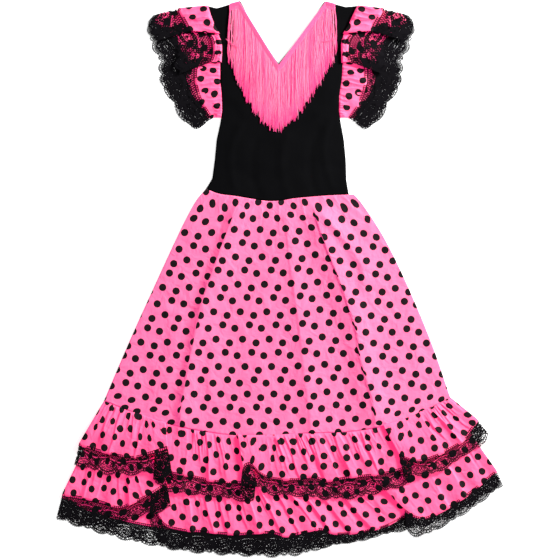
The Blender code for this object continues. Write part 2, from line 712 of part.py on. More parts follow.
def build():
    """Make every piece of the dress."""
    for old in list(bpy.data.objects):
        bpy.data.objects.remove(old, do_unlink=True)
    bpy.context.scene.collection.children.link(bpy.data.collections.new(COLLECTION))
    make_materials()

    # Bodice and its fringe
    bodice("bodice_back", lambda x, y: BACK_MID, BODICE_BACK_COLUMNS)
    bodice("bodice_front", bodice_height)
    fringe("fringe_left", FRINGE_LEFT_ROOT, FRINGE_LEFT_TIPS, "left")
    fringe("fringe_right", FRINGE_RIGHT_ROOT, FRINGE_RIGHT_TIPS, "right")

    # Skirt
    skirt("skirt_back", SKIRT_COLUMNS, 2, front=False)
    skirt("skirt_front", SKIRT_COLUMNS, SKIRT_ROWS, front=True)

    # Ruffles with their lace
    upper_seam = seam_below(seam_points())
    lower_seam = seam_below(np.array(LOWER_SEAM, float))
    back_seam = seam_below(seam_points(), BACK_SEAM_GAP)
    ruffle("ruffle_upper_back", UPPER_RUFFLE_BACK, back_seam, back_upper_height, (0.0, 1.0))
    lace("lace_upper_back", UPPER_RUFFLE_BACK, back_seam, back_upper_height, SCALLOP_DEPTH)
    ruffle("ruffle_lower_back", LOWER_RUFFLE_BACK, lower_seam, back_lower_height, BACK_TUCK_DOWN)
    lace("lace_lower_back", LOWER_RUFFLE_BACK, lower_seam, back_lower_height, SCALLOP_DEPTH)
    ruffle("ruffle_lower_front", LOWER_RUFFLE, lower_seam, lower_height, RUFFLE_DOWN)
    lace("lace_lower_front", LOWER_RUFFLE, lower_seam, lower_height, SCALLOP_DEPTH)
    ruffle("ruffle_upper_front", UPPER_RUFFLE, upper_seam, upper_height, RUFFLE_DOWN)
    lace("lace_upper_front", UPPER_RUFFLE, upper_seam, upper_height, SCALLOP_DEPTH)

    # Sleeves with their lace
    for side, front, back in (
        ("left", SLEEVE, SLEEVE_BACK),
        ("right", mirrored(SLEEVE), mirrored(SLEEVE_BACK)),
    ):
        hole = armhole(side)
        ruffle(f"sleeve_{side}_back", back, hole, back_upper_height, (0.0, 1.0))
        lace(f"lace_sleeve_{side}_back", back, hole, back_upper_height, SLEEVE_SCALLOP_DEPTH)
        ruffle(f"sleeve_{side}_front", front, hole, sleeve_height, SLEEVE_DOWN)
        lace(f"lace_sleeve_{side}_front", front, hole, sleeve_height, SLEEVE_SCALLOP_DEPTH)


build()
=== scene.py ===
"""Girl's flamenco dress laid flat on a white table, front up, seen from straight above.

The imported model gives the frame.  Every piece here is the cloth, lace or fringe that stands for one of its
solids, on that solid's own form.  Cut, creases and heights are in millimetres, and MM turns them to metres.
"""

import logging
import math
from dataclasses import dataclass, field
from enum import Enum
from typing import Callable, NamedTuple, Sequence

import bpy
import numpy as np
from bpy.types import Material, Node, NodeSocket, NodeTree, Object
from numpy import ndarray
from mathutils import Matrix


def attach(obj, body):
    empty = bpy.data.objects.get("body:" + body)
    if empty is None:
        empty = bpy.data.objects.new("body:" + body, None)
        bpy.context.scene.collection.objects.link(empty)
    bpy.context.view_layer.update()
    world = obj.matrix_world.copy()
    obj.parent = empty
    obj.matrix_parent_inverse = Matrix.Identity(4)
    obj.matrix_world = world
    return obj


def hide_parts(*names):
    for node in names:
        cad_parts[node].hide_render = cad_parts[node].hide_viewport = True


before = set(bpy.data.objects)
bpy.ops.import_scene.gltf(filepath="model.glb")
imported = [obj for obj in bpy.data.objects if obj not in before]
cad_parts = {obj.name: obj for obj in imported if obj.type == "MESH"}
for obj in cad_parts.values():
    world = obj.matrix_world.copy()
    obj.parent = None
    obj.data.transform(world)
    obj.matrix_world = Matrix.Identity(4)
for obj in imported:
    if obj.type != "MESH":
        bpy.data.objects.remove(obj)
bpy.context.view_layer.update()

MM = 0.001
LOG = logging.getLogger("dress")

# Heights of the middle of each cloth wall, and the steps between layers
BACK_MID = 0.5
FRONT_MID = 1.8
BODICE_RISE = 2.5
SKIRT_RISE = 3.5
LAYER_STEP = 2.4
LOWER_RUFFLE_MID = 3.8
BACK_TUCK = (0.64, 0.96)
UPPER_RIDE_DOWN = 0.75
FOLD_CALM = 26.0
SIDE_CALM = 45.0
SIDE_FADE = 0.08

# Gaps between neighbours
SEAM_GAP = 0.15
WAIST_GAP = 0.1
ARMHOLE_GAP = 0.05
BACK_SEAM_GAP = 0.9

# Spans of a smooth curve between two rows of a table, and the bow of a soft wrinkle as a share of its length
CURVE_STEPS = 8
DENT_BOW = 0.12

# Real thickness of the cloth, thinner than the wall that stands for it, and its hem under the lace's header
CLOTH_THICKNESS = 0.5
HEM_UNDER_LACE = 4.4
SEAM_ALLOWANCE = 2.0

# Last word of a piece's name, for each material slot
LAST_WORD = {"bodice_jersey": "jersey", "dotted_cotton": "cloth", "black_lace": "threads",
             "pink_fringe": "strands"}


class Side(Enum):
    """Side of the dress as the viewer sees it."""

    LEFT = "left"
    RIGHT = "right"


class Layer(Enum):
    """Front pieces lie on the back ones."""

    FRONT = "front"
    BACK = "back"


class BodiceRow(NamedTuple):
    """Left and right edge of the bodice at one height."""

    y: float
    left: float
    right: float


class RuffleRow(NamedTuple):
    """One section of a gathered strip: its place on the seam, its hem, its lace edge, and its fold layer."""

    along: float
    hem_x: float
    hem_y: float
    lace_x: float
    lace_y: float
    layer: float


class Fold(NamedTuple):
    """One long fold of the skirt: its route, height, widths, hidden cloth, crest and slip along itself."""

    route: tuple
    height: float
    left_width: float
    right_width: float
    hidden: float
    crisp: float
    slip: float = 0.0


class Crease(NamedTuple):
    """One main crease: where it starts along the seam, its reach down the cloth, its depth and its lean."""

    place: float
    start: float
    end: float
    depth: float
    lean: float


class Dent(NamedTuple):
    """One soft wrinkle between two places: its depth (less than nothing is a trough) and its half width."""

    x0: float
    y0: float
    x1: float
    y1: float
    depth: float
    width: float


def table(kind: type, *rows: tuple) -> tuple:
    """Rows of a table, with the names of its columns."""
    return tuple(kind(*row) for row in rows)


# Edges of the bodice, from the shoulders down, and its shoulder line and V neck
BODICE = table(
    BodiceRow,
    (442, -117, 129), (426, -112, 121), (410, -106, 114), (395, -97, 104), (380, -94, 102),
    (364, -94, 102.5), (348, -95, 103), (322, -95, 101.5), (296, -92.5, 97.5), (272, -92, 97),
    (252, -95, 100), (225, -101, 105), (193, -104, 108), (163, -108, 109), (142, -118, 113),
)
SHOULDER = (
    (-117, 442), (-101, 438), (-78, 444.5), (-63, 450), (74, 449), (89, 445), (108, 440), (129, 442),
)
NECK_TIP_X, NECK_TIP_Y = -1, 348
NECK_TOP_X = {Side.LEFT: -63, Side.RIGHT: 74}
SHOULDER_REACH = 32
SHOULDER_FLAT_FROM = 330
WAIST_REACH = 45
# Waist, the seams of the two ruffles, and the side seams of the skirt
WAIST = (
    (-118, 146), (-98, 138), (-70, 134), (-40, 129), (-16, 126), (5, 127), (23, 130), (53, 133), (79, 135),
    (121, 137),
)
UPPER_SEAM = (
    (-283, -197), (-253, -209), (-227, -219), (-199, -229), (-173, -236), (-128, -245), (-78, -252),
    (-34, -254), (11, -252), (49, -249), (96, -248), (136, -244), (176, -235), (215, -223), (235, -213),
    (257, -202), (277, -191),
)
LOWER_SEAM = (
    (-309, -262), (-280, -272), (-227, -281), (-181, -298), (-118, -309), (57, -308), (118, -301),
    (163, -288), (215, -269), (254, -248), (290, -222),
)
SKIRT_LEFT = ((-118, 146), (-133, 128), (-151, 96), (-167, 63), (-197, -2), (-241, -99), (-283, -197))
SKIRT_RIGHT = ((121, 137), (131, 126), (152, 96), (172, 63), (204, -2), (245, -99), (277, -191))
# Long folds of the skirt, how far they run past their ends, and how long a way takes up their slip, where
# they hide cloth and where they don't
SKIRT_FOLDS = table(
    Fold,
    (((-65, 128), (-102, 28), (-125, -40), (-142, -118), (-160, -212)), 4, 9, 26, 7, 1.9, -4.9),
    (((-108, -83), (-110, -130), (-111, -167)), 1.6, 9, 14, 0, 0.4),
    (((10, 115), (16, 37), (29, -53), (36, -110), (50, -228)), 2.2, 14, 20, 0, 1.5, -3.6),
    (((53, 123), (68, 73), (95, 3), (125, -87), (129, -118), (154, -212)), 4.6, 22, 26, 3, 2.8, 10),
    (((60, 118), (81, 92), (118, 47), (135, 18)), 2.8, 10, 20, 0, 1),
    (((110, 121), (128, 110), (147, 92)), 1.2, 8, 8, 3, 1.4),
)
FOLD_LEAD, FOLD_TAIL, FOLD_FADE = 10, 45, 35
FOLD_CRISP, FOLD_SOFT = 1.6, 70
# Front ruffles, section by section, where each is folded over itself, and the upper one's height at its hem
UPPER_RUFFLE = table(
    RuffleRow,
    (-283, -323, -265, -331, -300, 0), (-253, -277, -278, -280, -315, 0),
    (-222, -235, -285, -235, -316, 0.8), (-209, -215, -280, -212, -312, 1.5),
    (-199, -197, -274, -191, -319, 2), (-184, -180, -269, -170, -322, 2), (-183, -180, -272, -173, -329, 1),
    (-194, -200, -283, -202, -322, 1), (-195, -200, -287, -203, -326, 0), (-180, -180, -307, -180, -342, 0),
    (-142, -141, -316, -141, -348, 0), (-107, -97, -325, -97, -353, 0), (-76, -57, -326, -58, -359, 0),
    (-55, -37, -324, -40, -359, 0), (-54, -38, -322, -41, -356, 1), (-65, -58, -306, -63, -348, 1),
    (-66, -58, -301, -63, -342, 2), (-57, -47, -295, -44, -332, 2), (-44, -31, -310, -29, -339, 1.8),
    (-28, -15, -318, -15, -348, 1), (10, 32, -321, 32, -351, 0.5), (28, 53, -316, 57, -354, 0.5),
    (45, 76, -323, 79, -356, 0.2), (83, 115, -317, 121, -354, 0.3), (125, 157, -313, 163, -345, 0),
    (162, 194, -305, 201, -334, 0), (180, 210, -298, 217, -327, 0), (181, 210, -295, 217, -324, 1),
    (170, 194, -285, 202, -322, 1), (169, 193, -281, 202, -317, 2), (182, 206, -287, 215, -316, 2),
    (196, 222, -291, 231, -317, 1.6), (212, 244, -286, 254, -313, 1), (233, 270, -274, 282, -298, 0.5),
    (251, 295, -259, 312, -277, 0.2), (264, 309, -241, 330, -270, 0), (277, 319, -225, 338, -248, 0),
)
UPPER_TURNS = (-188, -48, 202)
LOWER_RUFFLE = table(
    RuffleRow,
    (-309, -350, -346, -359, -387, 0), (-285, -309, -353, -316, -397, 0),
    (-272, -283, -359, -288, -400, 0.2), (-256, -259, -367, -259, -397, 0.8),
    (-241, -235, -358, -230, -385, 1.4), (-227, -209, -345, -201, -376, 2),
    (-206, -183, -330, -175, -363, 2), (-205, -181, -333, -175, -369, 1), (-216, -206, -345, -207, -383, 1),
    (-217, -207, -347, -210, -390, 0), (-196, -186, -393, -187, -432, 0), (-178, -163, -402, -165, -439, 0),
    (-139, -118, -406, -118, -444, 0), (-97, -70, -410, -71, -447, 0.3), (-58, -11, -407, -10, -449, 1.2),
    (-40, 11, -413, 13, -448, 0.8), (-21, 39, -407, 39, -445, 0.5), (-2, 66, -402, 65, -437, 0.8),
    (18, 92, -409, 89, -429, 0.2), (57, 136, -406, 134, -424, 0), (99, 181, -393, 180, -406, 0),
    (138, 217, -367, 215, -397, 0), (139, 217, -364, 215, -392, 1), (128, 203, -370, 204, -405, 1),
    (127, 203, -371, 206, -408, 2), (145, 218, -381, 223, -416, 2), (165, 235, -384, 246, -410, 1.5),
    (190, 256, -376, 269, -398, 0.8), (235, 299, -350, 314, -371, 0.2), (290, 351, -308, 363, -333, 0),
)
LOWER_TURNS = (-190, 209)
UPPER_HEM_HEIGHT = (
    (-340, 6.3), (-300, 7.2), (-268, 10.5), (-165, 10.5), (-125, 7.4), (-80, 8.9), (10, 8.9), (60, 7.8),
    (92, 7.6), (112, 10), (135, 10.5), (250, 10.5), (290, 8.6), (320, 7), (345, 6.3),
)
# Left sleeve, the layer on top and the layer under it; the right one is its mirror image about AXIS_X
SLEEVE = table(
    RuffleRow,
    (442, -160, 438, -202, 427, 2), (429, -154, 426, -213, 410, 2), (416, -147, 413, -210, 393, 2),
    (398, -141, 401, -196, 384, 2), (397, -141, 402, -196, 386, 1), (404, -133, 418, -190, 404, 1),
    (405, -132, 417, -189, 402, 0), (393, -120, 402, -176, 384, 0), (384, -107, 392, -167, 364, 1.2),
    (372, -102, 374, -167, 350, 2), (363, -104, 359, -167, 338, 2), (351, -108, 351, -163, 330, 2),
    (350, -109, 352, -164, 330, 1), (356, -116, 360, -173, 349, 1), (357, -117, 358, -175, 349, 0),
    (344, -131, 342, -193, 341, 0), (325, -132, 322, -192, 322, 0), (309, -129, 304, -181, 298, 0),
    (293, -124, 290, -170, 277, 0), (277, -116, 275, -154, 254, 0), (261, -106, 261, -134, 239, 0),
)
SLEEVE_BACK = table(
    RuffleRow,
    (442, -188, 431, -202, 427, 0), (425, -196, 416, -212, 413, 0), (407, -176, 402, -212, 393, 0),
    (365, -150, 360, -197, 354, 0), (325, -146, 322, -191, 322, 0), (300, -138, 300, -181, 296, 0),
    (261, -110, 262, -138, 241, 0),
)
# Back ruffles
UPPER_RUFFLE_BACK = table(
    RuffleRow,
    (-283, -322, -265, -331, -300, 0), (-238, -274, -285, -279, -321, 0), (-173, -209, -304, -212, -340, 0),
    (-78, -96, -324, -97, -360, 0), (11, 12, -326, 13, -362, 0), (96, 115, -320, 119, -356, 0),
    (176, 200, -302, 208, -337, 0), (235, 271, -271, 284, -304, 0), (277, 318, -227, 338, -248, 0),
)
LOWER_RUFFLE_BACK = table(
    RuffleRow,
    (-309, -351, -350, -361, -388, 0), (-283, -306, -372, -312, -405, 0), (-227, -239, -391, -243, -424, 0),
    (-181, -186, -400, -186, -435, 0), (-118, -115, -407, -114, -442, 0), (-30, -20, -410, -18, -446, 0),
    (57, 75, -404, 79, -434, 0), (118, 150, -395, 155, -418, 0), (163, 205, -383, 213, -405, 0),
    (215, 262, -361, 274, -388, 0), (254, 310, -334, 324, -357, 0), (290, 349, -309, 361, -332, 0),
)
AXIS_X = 3.0
# Fringe: the upper edge of its band, the ends of its strands, and a loose thread on each side
FRINGE_ROOT = {
    Side.LEFT: ((-80, 442), (-65, 446), (-3, 345)),
    Side.RIGHT: ((1.5, 345), (76, 446), (91, 442)),
}
FRINGE_TIPS = {
    Side.LEFT: ((-84, 362), (-70, 325), (-52, 291), (-36, 265), (-18, 248), (-3, 241)),
    Side.RIGHT: ((1.5, 241), (28, 262), (44, 285), (62, 312), (76, 335), (92, 366)),
}
LOOSE_THREAD = {
    Side.LEFT: ((-86, 388), (-76, 380), (-64, 374)),
    Side.RIGHT: ((69, 384), (80, 384), (92, 389)),
}
# Main creases of the ruffles.  Places are along the hem, reaches are shares of the way down.
UPPER_CREASES = table(
    Crease,
    (22, 0, 0.7, 1, 8), (47, 0.1, 1, 1.3, 4), (74, 0, 0.5, 0.9, 12), (96, 0, 1, 1.4, -6),
    (121, 0, 0.6, 1, 10), (243, 0, 0.9, 1.2, -4), (262, 0, 0.5, 0.9, 3), (281, 0, 1, 1.5, -3),
    (306, 0, 0.8, 1.1, 2), (330, 0.1, 1, 1.2, -2), (352, 0, 0.6, 1, 4), (378, 0, 1, 1.4, -5),
    (470, 0, 0.7, 1.2, 8), (489, 0, 1, 1.3, 3), (515, 0, 0.6, 0.9, -3), (533, 0, 1, 1.5, 2),
    (557, 0, 0.8, 1.1, 0), (580, 0, 1, 1.3, -4), (604, 0, 0.5, 0.9, 3), (623, 0, 1, 1.5, -3),
    (651, 0, 0.8, 1, 4), (672, 0, 1, 1.3, -6), (781, 0, 0.7, 1.2, 12), (803, 0, 1, 1.4, 8),
    (829, 0, 0.9, 1.1, 6), (856, 0.1, 1, 1.2, 4),
)
LOWER_CREASES = table(
    Crease,
    (30, 0, 1, 1.2, 6), (60, 0.2, 1, 1.3, -4), (88, 0, 0.8, 1, 8), (118, 0.1, 1, 1.3, -10),
    (140, 0.2, 1, 1.1, -12), (262, 0, 1, 1.3, 0), (291, 0, 0.8, 1, 3), (318, 0, 1, 1.4, -2),
    (346, 0.2, 1, 1.2, 2), (371, 0, 1, 1.3, 0), (402, 0, 0.8, 1, 4), (431, 0.1, 1, 1.4, -7),
    (457, 0, 1, 1.1, 5), (489, 0, 1, 1.5, 0), (512, 0.3, 1, 1, 6), (543, 0, 1, 1.4, -2),
    (571, 0, 0.9, 1.1, 3), (603, 0.1, 1, 1.3, 6), (629, 0.2, 1, 1, 10), (742, 0, 1, 1.3, -12),
    (768, 0, 1, 1.1, -14), (797, 0.1, 1, 1.3, -10), (826, 0, 1, 1.2, -6),
)
SLEEVE_CREASES = table(
    Crease,
    (10, 0, 1, 0.9, 3), (24, 0, 0.8, 0.8, -2), (84, 0, 1, 0.7, 0), (148, 0, 1, 0.9, 2),
    (166, 0, 0.7, 0.8, -3), (184, 0, 1, 1, 2), (203, 0, 0.8, 0.8, 0), (220, 0, 1, 0.9, -2),
)
# Waist gathers of the skirt: places and leans are shares of its width.
WAIST_CREASES = table(
    Crease,
    (0.045, 0, 0.16, 0.9, 0.004), (0.1, 0, 0.1, 0.7, 0), (0.155, 0, 0.2, 0.8, 0.01), (0.2, 0, 0.12, 0.8, 0),
    (0.3, 0, 0.26, 1, -0.006), (0.335, 0, 0.12, 0.8, 0.004), (0.395, 0, 0.18, 0.8, 0),
    (0.46, 0, 0.12, 0.7, 0.006), (0.5, 0, 0.22, 1, -0.004), (0.585, 0, 0.14, 0.8, 0),
    (0.645, 0, 0.24, 0.9, 0.008), (0.79, 0, 0.13, 0.9, 0.01), (0.86, 0, 0.18, 0.8, 0.012),
    (0.93, 0, 0.13, 0.8, 0.01),
)
# Soft wrinkles
SKIRT_DENTS = table(
    Dent,
    (45, -154, 99, -151, -0.7, 6), (-199, -36, -133, -60, -0.8, 8), (-176, -40, -196, -190, 1, 14),
    (-60, -70, -54, -236, 0.8, 15), (-18, 90, -40, -60, 0.8, 16), (86, -60, 92, -236, -0.8, 12),
    (190, -10, 222, -170, 0.9, 16), (158, 60, 196, -60, -0.7, 13), (-96, 70, -140, 0, -0.8, 11),
    (-230, -110, -222, -200, -0.8, 12), (-22, -120, -8, -240, -0.6, 11),
)
BODICE_DENTS = table(
    Dent,
    (-72, 152, -60, 252, 0.9, 7), (-30, 140, -36, 226, -0.8, 8), (18, 140, 14, 236, 0.8, 7),
    (58, 146, 66, 244, -0.9, 7), (88, 150, 84, 262, 0.8, 6), (-90, 300, -52, 262, 0.7, 9),
    (96, 300, 56, 266, 0.7, 9), (-4, 232, 4, 180, 0.5, 9), (-98, 176, -40, 164, -0.6, 7),
    (40, 168, 100, 182, -0.6, 7),
)


def linear(hex_code: str) -> tuple[float, float, float, float]:
    """Turn an sRGB hex code to a linear colour.

    Args:
        hex_code: the colour as "#rrggbb".

    Returns:
        Linear red, green, blue and an alpha of 1.
    """
    parts = [int(hex_code[i:i + 2], 16) / 255 for i in (1, 3, 5)]
    red, green, blue = (p / 12.92 if p <= 0.04045 else ((p + 0.055) / 1.055) ** 2.4 for p in parts)
    return red, green, blue, 1.0


def feed(tree: NodeTree, node: Node, inputs: dict) -> None:
    """Feed a node's inputs.

    Args:
        tree: the node's tree.
        node: the node.
        inputs: for each input, by name or number, a value or the output that feeds it.
    """
    for key, value in inputs.items():
        if isinstance(value, NodeSocket):
            tree.links.new(value, node.inputs[key])
        else:
            node.inputs[key].default_value = value


def add_node(tree: NodeTree, kind: str, inputs: dict | None = None, **settings: object) -> Node:
    """Add a shader node with its settings and links.

    Args:
        tree: the tree that gets the node.
        kind: the node's type, less the words that all shader nodes start with.
        inputs: what feeds it, as in feed.
        settings: properties of the node.

    Returns:
        The new node.
    """
    node = tree.nodes.new(f"ShaderNode{kind}")
    for name, value in settings.items():
        setattr(node, name, value)
    feed(tree, node, inputs or {})
    return node


def compute(tree: NodeTree, kind: str, operation: str, *inputs: object) -> NodeSocket:
    """Add a node that does one sum, on numbers as kind Math or on vectors as kind VectorMath."""
    node = add_node(tree, kind, dict(enumerate(inputs)), operation=operation)
    return node.outputs["Value" if operation == "LENGTH" else 0]


def mixed(tree: NodeTree, share: NodeSocket, first: object, second: object) -> NodeSocket:
    """Colour between two others, which are inputs 6 and 7 of a mix node, as it is its output 2."""
    return add_node(tree, "Mix", {"Factor": share, 6: first, 7: second}, data_type="RGBA").outputs[2]


def shades(tree: NodeTree, share: NodeSocket, first: str, last: str, middle: str = "") -> NodeSocket:
    """Colour that runs from one hex code to another.

    Args:
        tree: the tree that gets the node.
        share: how far along the run the colour is taken.
        first: the colour at 0.
        last: the colour at 1.
        middle: the colour at 0.5, where it isn't the plain mean.

    Returns:
        The colour.
    """
    node = add_node(tree, "ValToRGB", {"Fac": share})
    elements = node.color_ramp.elements
    elements[0].color = linear(first)
    elements[1].color = linear(last)
    if middle:
        elements.new(0.5).color = linear(middle)
    return node.outputs["Color"]


def noise(tree: NodeTree, place: NodeSocket, size: float, detail: float, **more: float) -> NodeSocket:
    """Soft random lumps of that size in mm."""
    inputs = {"Vector": place, "Scale": 1 / (size * MM), "Detail": detail, **more}
    return add_node(tree, "TexNoise", inputs).outputs["Fac"]


def threads(tree: NodeTree, place: NodeSocket, pitch: float, way: str, waver: float) -> NodeSocket:
    """Threads side by side at that pitch in mm, across X or Y."""
    inputs = {"Vector": place, "Scale": 1 / (pitch * MM) / 20, "Distortion": waver}
    return add_node(tree, "TexWave", inputs, bands_direction=way).outputs["Fac"]


def relief(tree: NodeTree, height: NodeSocket, strength: float, depth: float,
           **more: NodeSocket) -> NodeSocket:
    """Normal of a face with that relief, its depth in mm."""
    inputs = {"Height": height, "Strength": strength, "Distance": depth * MM, **more}
    return add_node(tree, "Bump", inputs).outputs["Normal"]


def leaned(tree: NodeTree, place: NodeSocket, lean: float) -> NodeSocket:
    """Lean a pattern's rows: x grows by the lean for each step of y."""
    turned = compute(tree, "VectorMath", "CROSS_PRODUCT", place, (0, 0, lean))
    return compute(tree, "VectorMath", "MULTIPLY_ADD", turned, (1, 0, 0), place)


def smoothstep(value: ndarray | float) -> ndarray:
    """Ease from 0 to 1 as the value goes from 0 to 1."""
    value = np.clip(value, 0.0, 1.0)
    return value * value * (3 - 2 * value)


def ridge(off: ndarray, after: float, before: float) -> ndarray:
    """Crest of height 1 that falls away over one length past it and over the other before it."""
    return np.exp(-np.maximum(off / after, -off / before))


def smooth_rows(rows: Sequence, steps: int) -> ndarray:
    """Rows of a smooth curve through a table's rows, the last of six values keeping its level stretches.

    Args:
        rows: the rows to pass through.
        steps: how many spans each stretch between two rows is cut into.

    Returns:
        The fine rows.
    """
    rows = [np.array(r, float) for r in rows]
    lengths = [max(float(np.linalg.norm(b - a)), 0.01) ** 0.5 for a, b in zip(rows, rows[1:])]
    slopes = [(b - a) / h for a, b, h in zip(rows, rows[1:], lengths)]
    tangents = [slopes[0]]
    for i in range(len(slopes) - 1):
        slope = (slopes[i] * lengths[i + 1] + slopes[i + 1] * lengths[i]) / (lengths[i] + lengths[i + 1])
        if len(slope) == len(RuffleRow._fields) and slopes[i][-1] * slopes[i + 1][-1] <= 0:
            slope[-1] = 0.0
        tangents.append(slope)
    tangents.append(slopes[-1])
    fine = []
    for span, run in enumerate(lengths):
        for part in np.arange(steps + (span == len(lengths) - 1)) / steps:
            keep = (1 + 2 * part) * (1 - part) ** 2
            rise, fall = part * (1 - part) ** 2, part * part * (part - 1)
            ends = keep * rows[span] + (1 - keep) * rows[span + 1]
            fine.append(ends + run * (rise * tangents[span] + fall * tangents[span + 1]))
    return np.array(fine)


def run_lengths(points: ndarray) -> ndarray:
    """Length of a line of points up to each of them."""
    return np.concatenate(([0.0], np.cumsum(np.linalg.norm(np.diff(points, axis=0), axis=1))))


def at_runs(points: ndarray, runs: ndarray, wanted: ndarray) -> ndarray:
    """Rows of numbers at the wanted lengths along a line."""
    return np.stack([np.interp(wanted, runs, column) for column in points.T], axis=1)


def at_shares(rows: Sequence, shares: ndarray) -> ndarray:
    """Points of the smooth curve through a table at shares of its length."""
    curve = smooth_rows(rows, CURVE_STEPS)
    return at_runs(curve, run_lengths(curve), shares * run_lengths(curve)[-1])


def on_table(rows: Sequence, x: ndarray) -> ndarray:
    """Second column of a table, at places in its first."""
    points = np.array(rows, float)
    return np.interp(x, points[:, 0], points[:, 1])


def paired(*columns: ndarray) -> ndarray:
    """Points from their coordinates, one of which may be a plain number."""
    return np.stack(np.broadcast_arrays(*columns), axis=-1)


def of_length(ways: ndarray, length: float) -> ndarray:
    """Ways made that long, but for the ones under 1 mm, which stay shorter."""
    return ways * (length / np.linalg.norm(ways, axis=1)[:, None].clip(1.0))


def crown(share: ndarray, rise: ndarray | float) -> ndarray:
    """Rise of a front panel over the back: none at its side seams, most along its middle."""
    return rise * (1 - np.abs(2 * share - 1) ** 3)


def dented(x: ndarray, y: ndarray, dents: Sequence[Dent]) -> ndarray:
    """Height that soft wrinkles, each a little bowed, add at each place.

    Args:
        x: places across, in mm.
        y: places up, in mm.
        dents: the wrinkles.

    Returns:
        The height in mm.
    """
    total = np.zeros_like(x)
    for dent in dents:
        way = np.array((dent.x1 - dent.x0, dent.y1 - dent.y0))
        length = float(np.hypot(*way))
        along = ((x - dent.x0) * way[0] + (y - dent.y0) * way[1]) / length
        beside = ((x - dent.x0) * way[1] - (y - dent.y0) * way[0]) / length
        ends = smoothstep((along + dent.width) / (2 * dent.width))
        ends = ends * smoothstep((length + dent.width - along) / (2 * dent.width))
        bend = beside + DENT_BOW * length * np.sin(math.pi * np.clip(along / length, 0, 1))
        total += dent.depth * ends * np.exp(-((bend / dent.width) ** 2))
    return total


class Cloth(NamedTuple):
    """A sheet as a grid: places in mm, and how far along and down the cut each of them is, in mm."""

    points: ndarray
    cut: ndarray


def grid_faces(rows: int, columns: int) -> ndarray:
    """Four corners of each face of a grid, seen from above in turn."""
    start = np.arange(rows - 1)[:, None] * columns + np.arange(columns - 1)[None, :]
    return np.stack((start, start + columns, start + columns + 1, start + 1), axis=-1).reshape(-1, 4)


def in_scene(name: str, data: bpy.types.ID | None) -> Object:
    """Put a new object in the scene.

    Args:
        name: its name.
        data: its mesh, camera or lamp, or none for an empty one.

    Returns:
        The object.
    """
    thing = bpy.data.objects.new(name, data)
    bpy.context.scene.collection.objects.link(thing)
    return thing


def new_piece(node: str, slot: str, finish: Material, points: ndarray, faces: Sequence[ndarray],
              cut: ndarray | None = None) -> Object:
    """Make a piece that rides on the dress and stands for one of its solids.

    Args:
        node: the solid's node.
        slot: its material slot.
        finish: its material.
        points: its points, in mm.
        faces: groups of faces, each face as the numbers of its points.
        cut: for cloth, the place of each point on the flat cut, in mm.

    Returns:
        The new object.
    """
    mesh = bpy.data.meshes.new(f"{node}_{LAST_WORD[slot]}")
    corners = [face for group in faces for face in group.tolist()]
    mesh.from_pydata((points.reshape(-1, 3) * MM).tolist(), [], corners)
    mesh.polygons.foreach_set("use_smooth", np.ones(len(mesh.polygons), bool))
    if cut is not None:
        index = np.zeros(len(mesh.loops), np.int32)
        mesh.loops.foreach_get("vertex_index", index)
        layer = mesh.uv_layers.new(name="cut")
        layer.data.foreach_set("uv", (cut.reshape(-1, 2)[index] * MM).ravel())
    mesh.materials.append(finish)
    mesh.update()
    piece = in_scene(mesh.name, mesh)
    if cut is not None:
        wall = piece.modifiers.new("cloth thickness", "SOLIDIFY")
        wall.thickness = CLOTH_THICKNESS * MM
        wall.offset = 0.0
    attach(piece, "root")
    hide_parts(node)
    return piece


def cloth_piece(node: str, finish: Material, cloth: Cloth) -> Object:
    """Make a piece of printed cotton from its grid."""
    faces = [grid_faces(*cloth.points.shape[:2])]
    return new_piece(node, "dotted_cotton", finish, cloth.points, faces, cloth.cut)


@dataclass(frozen=True)
class Finish:
    """A material, and what feeds its shader."""

    name: str

    def make(self) -> Material:
        """Build the material.

        Returns:
            The material.
        """
        material = bpy.data.materials.new(self.name)
        material.use_nodes = True
        tree = material.node_tree
        feed(tree, tree.nodes["Principled BSDF"], self.inputs(tree))
        return material


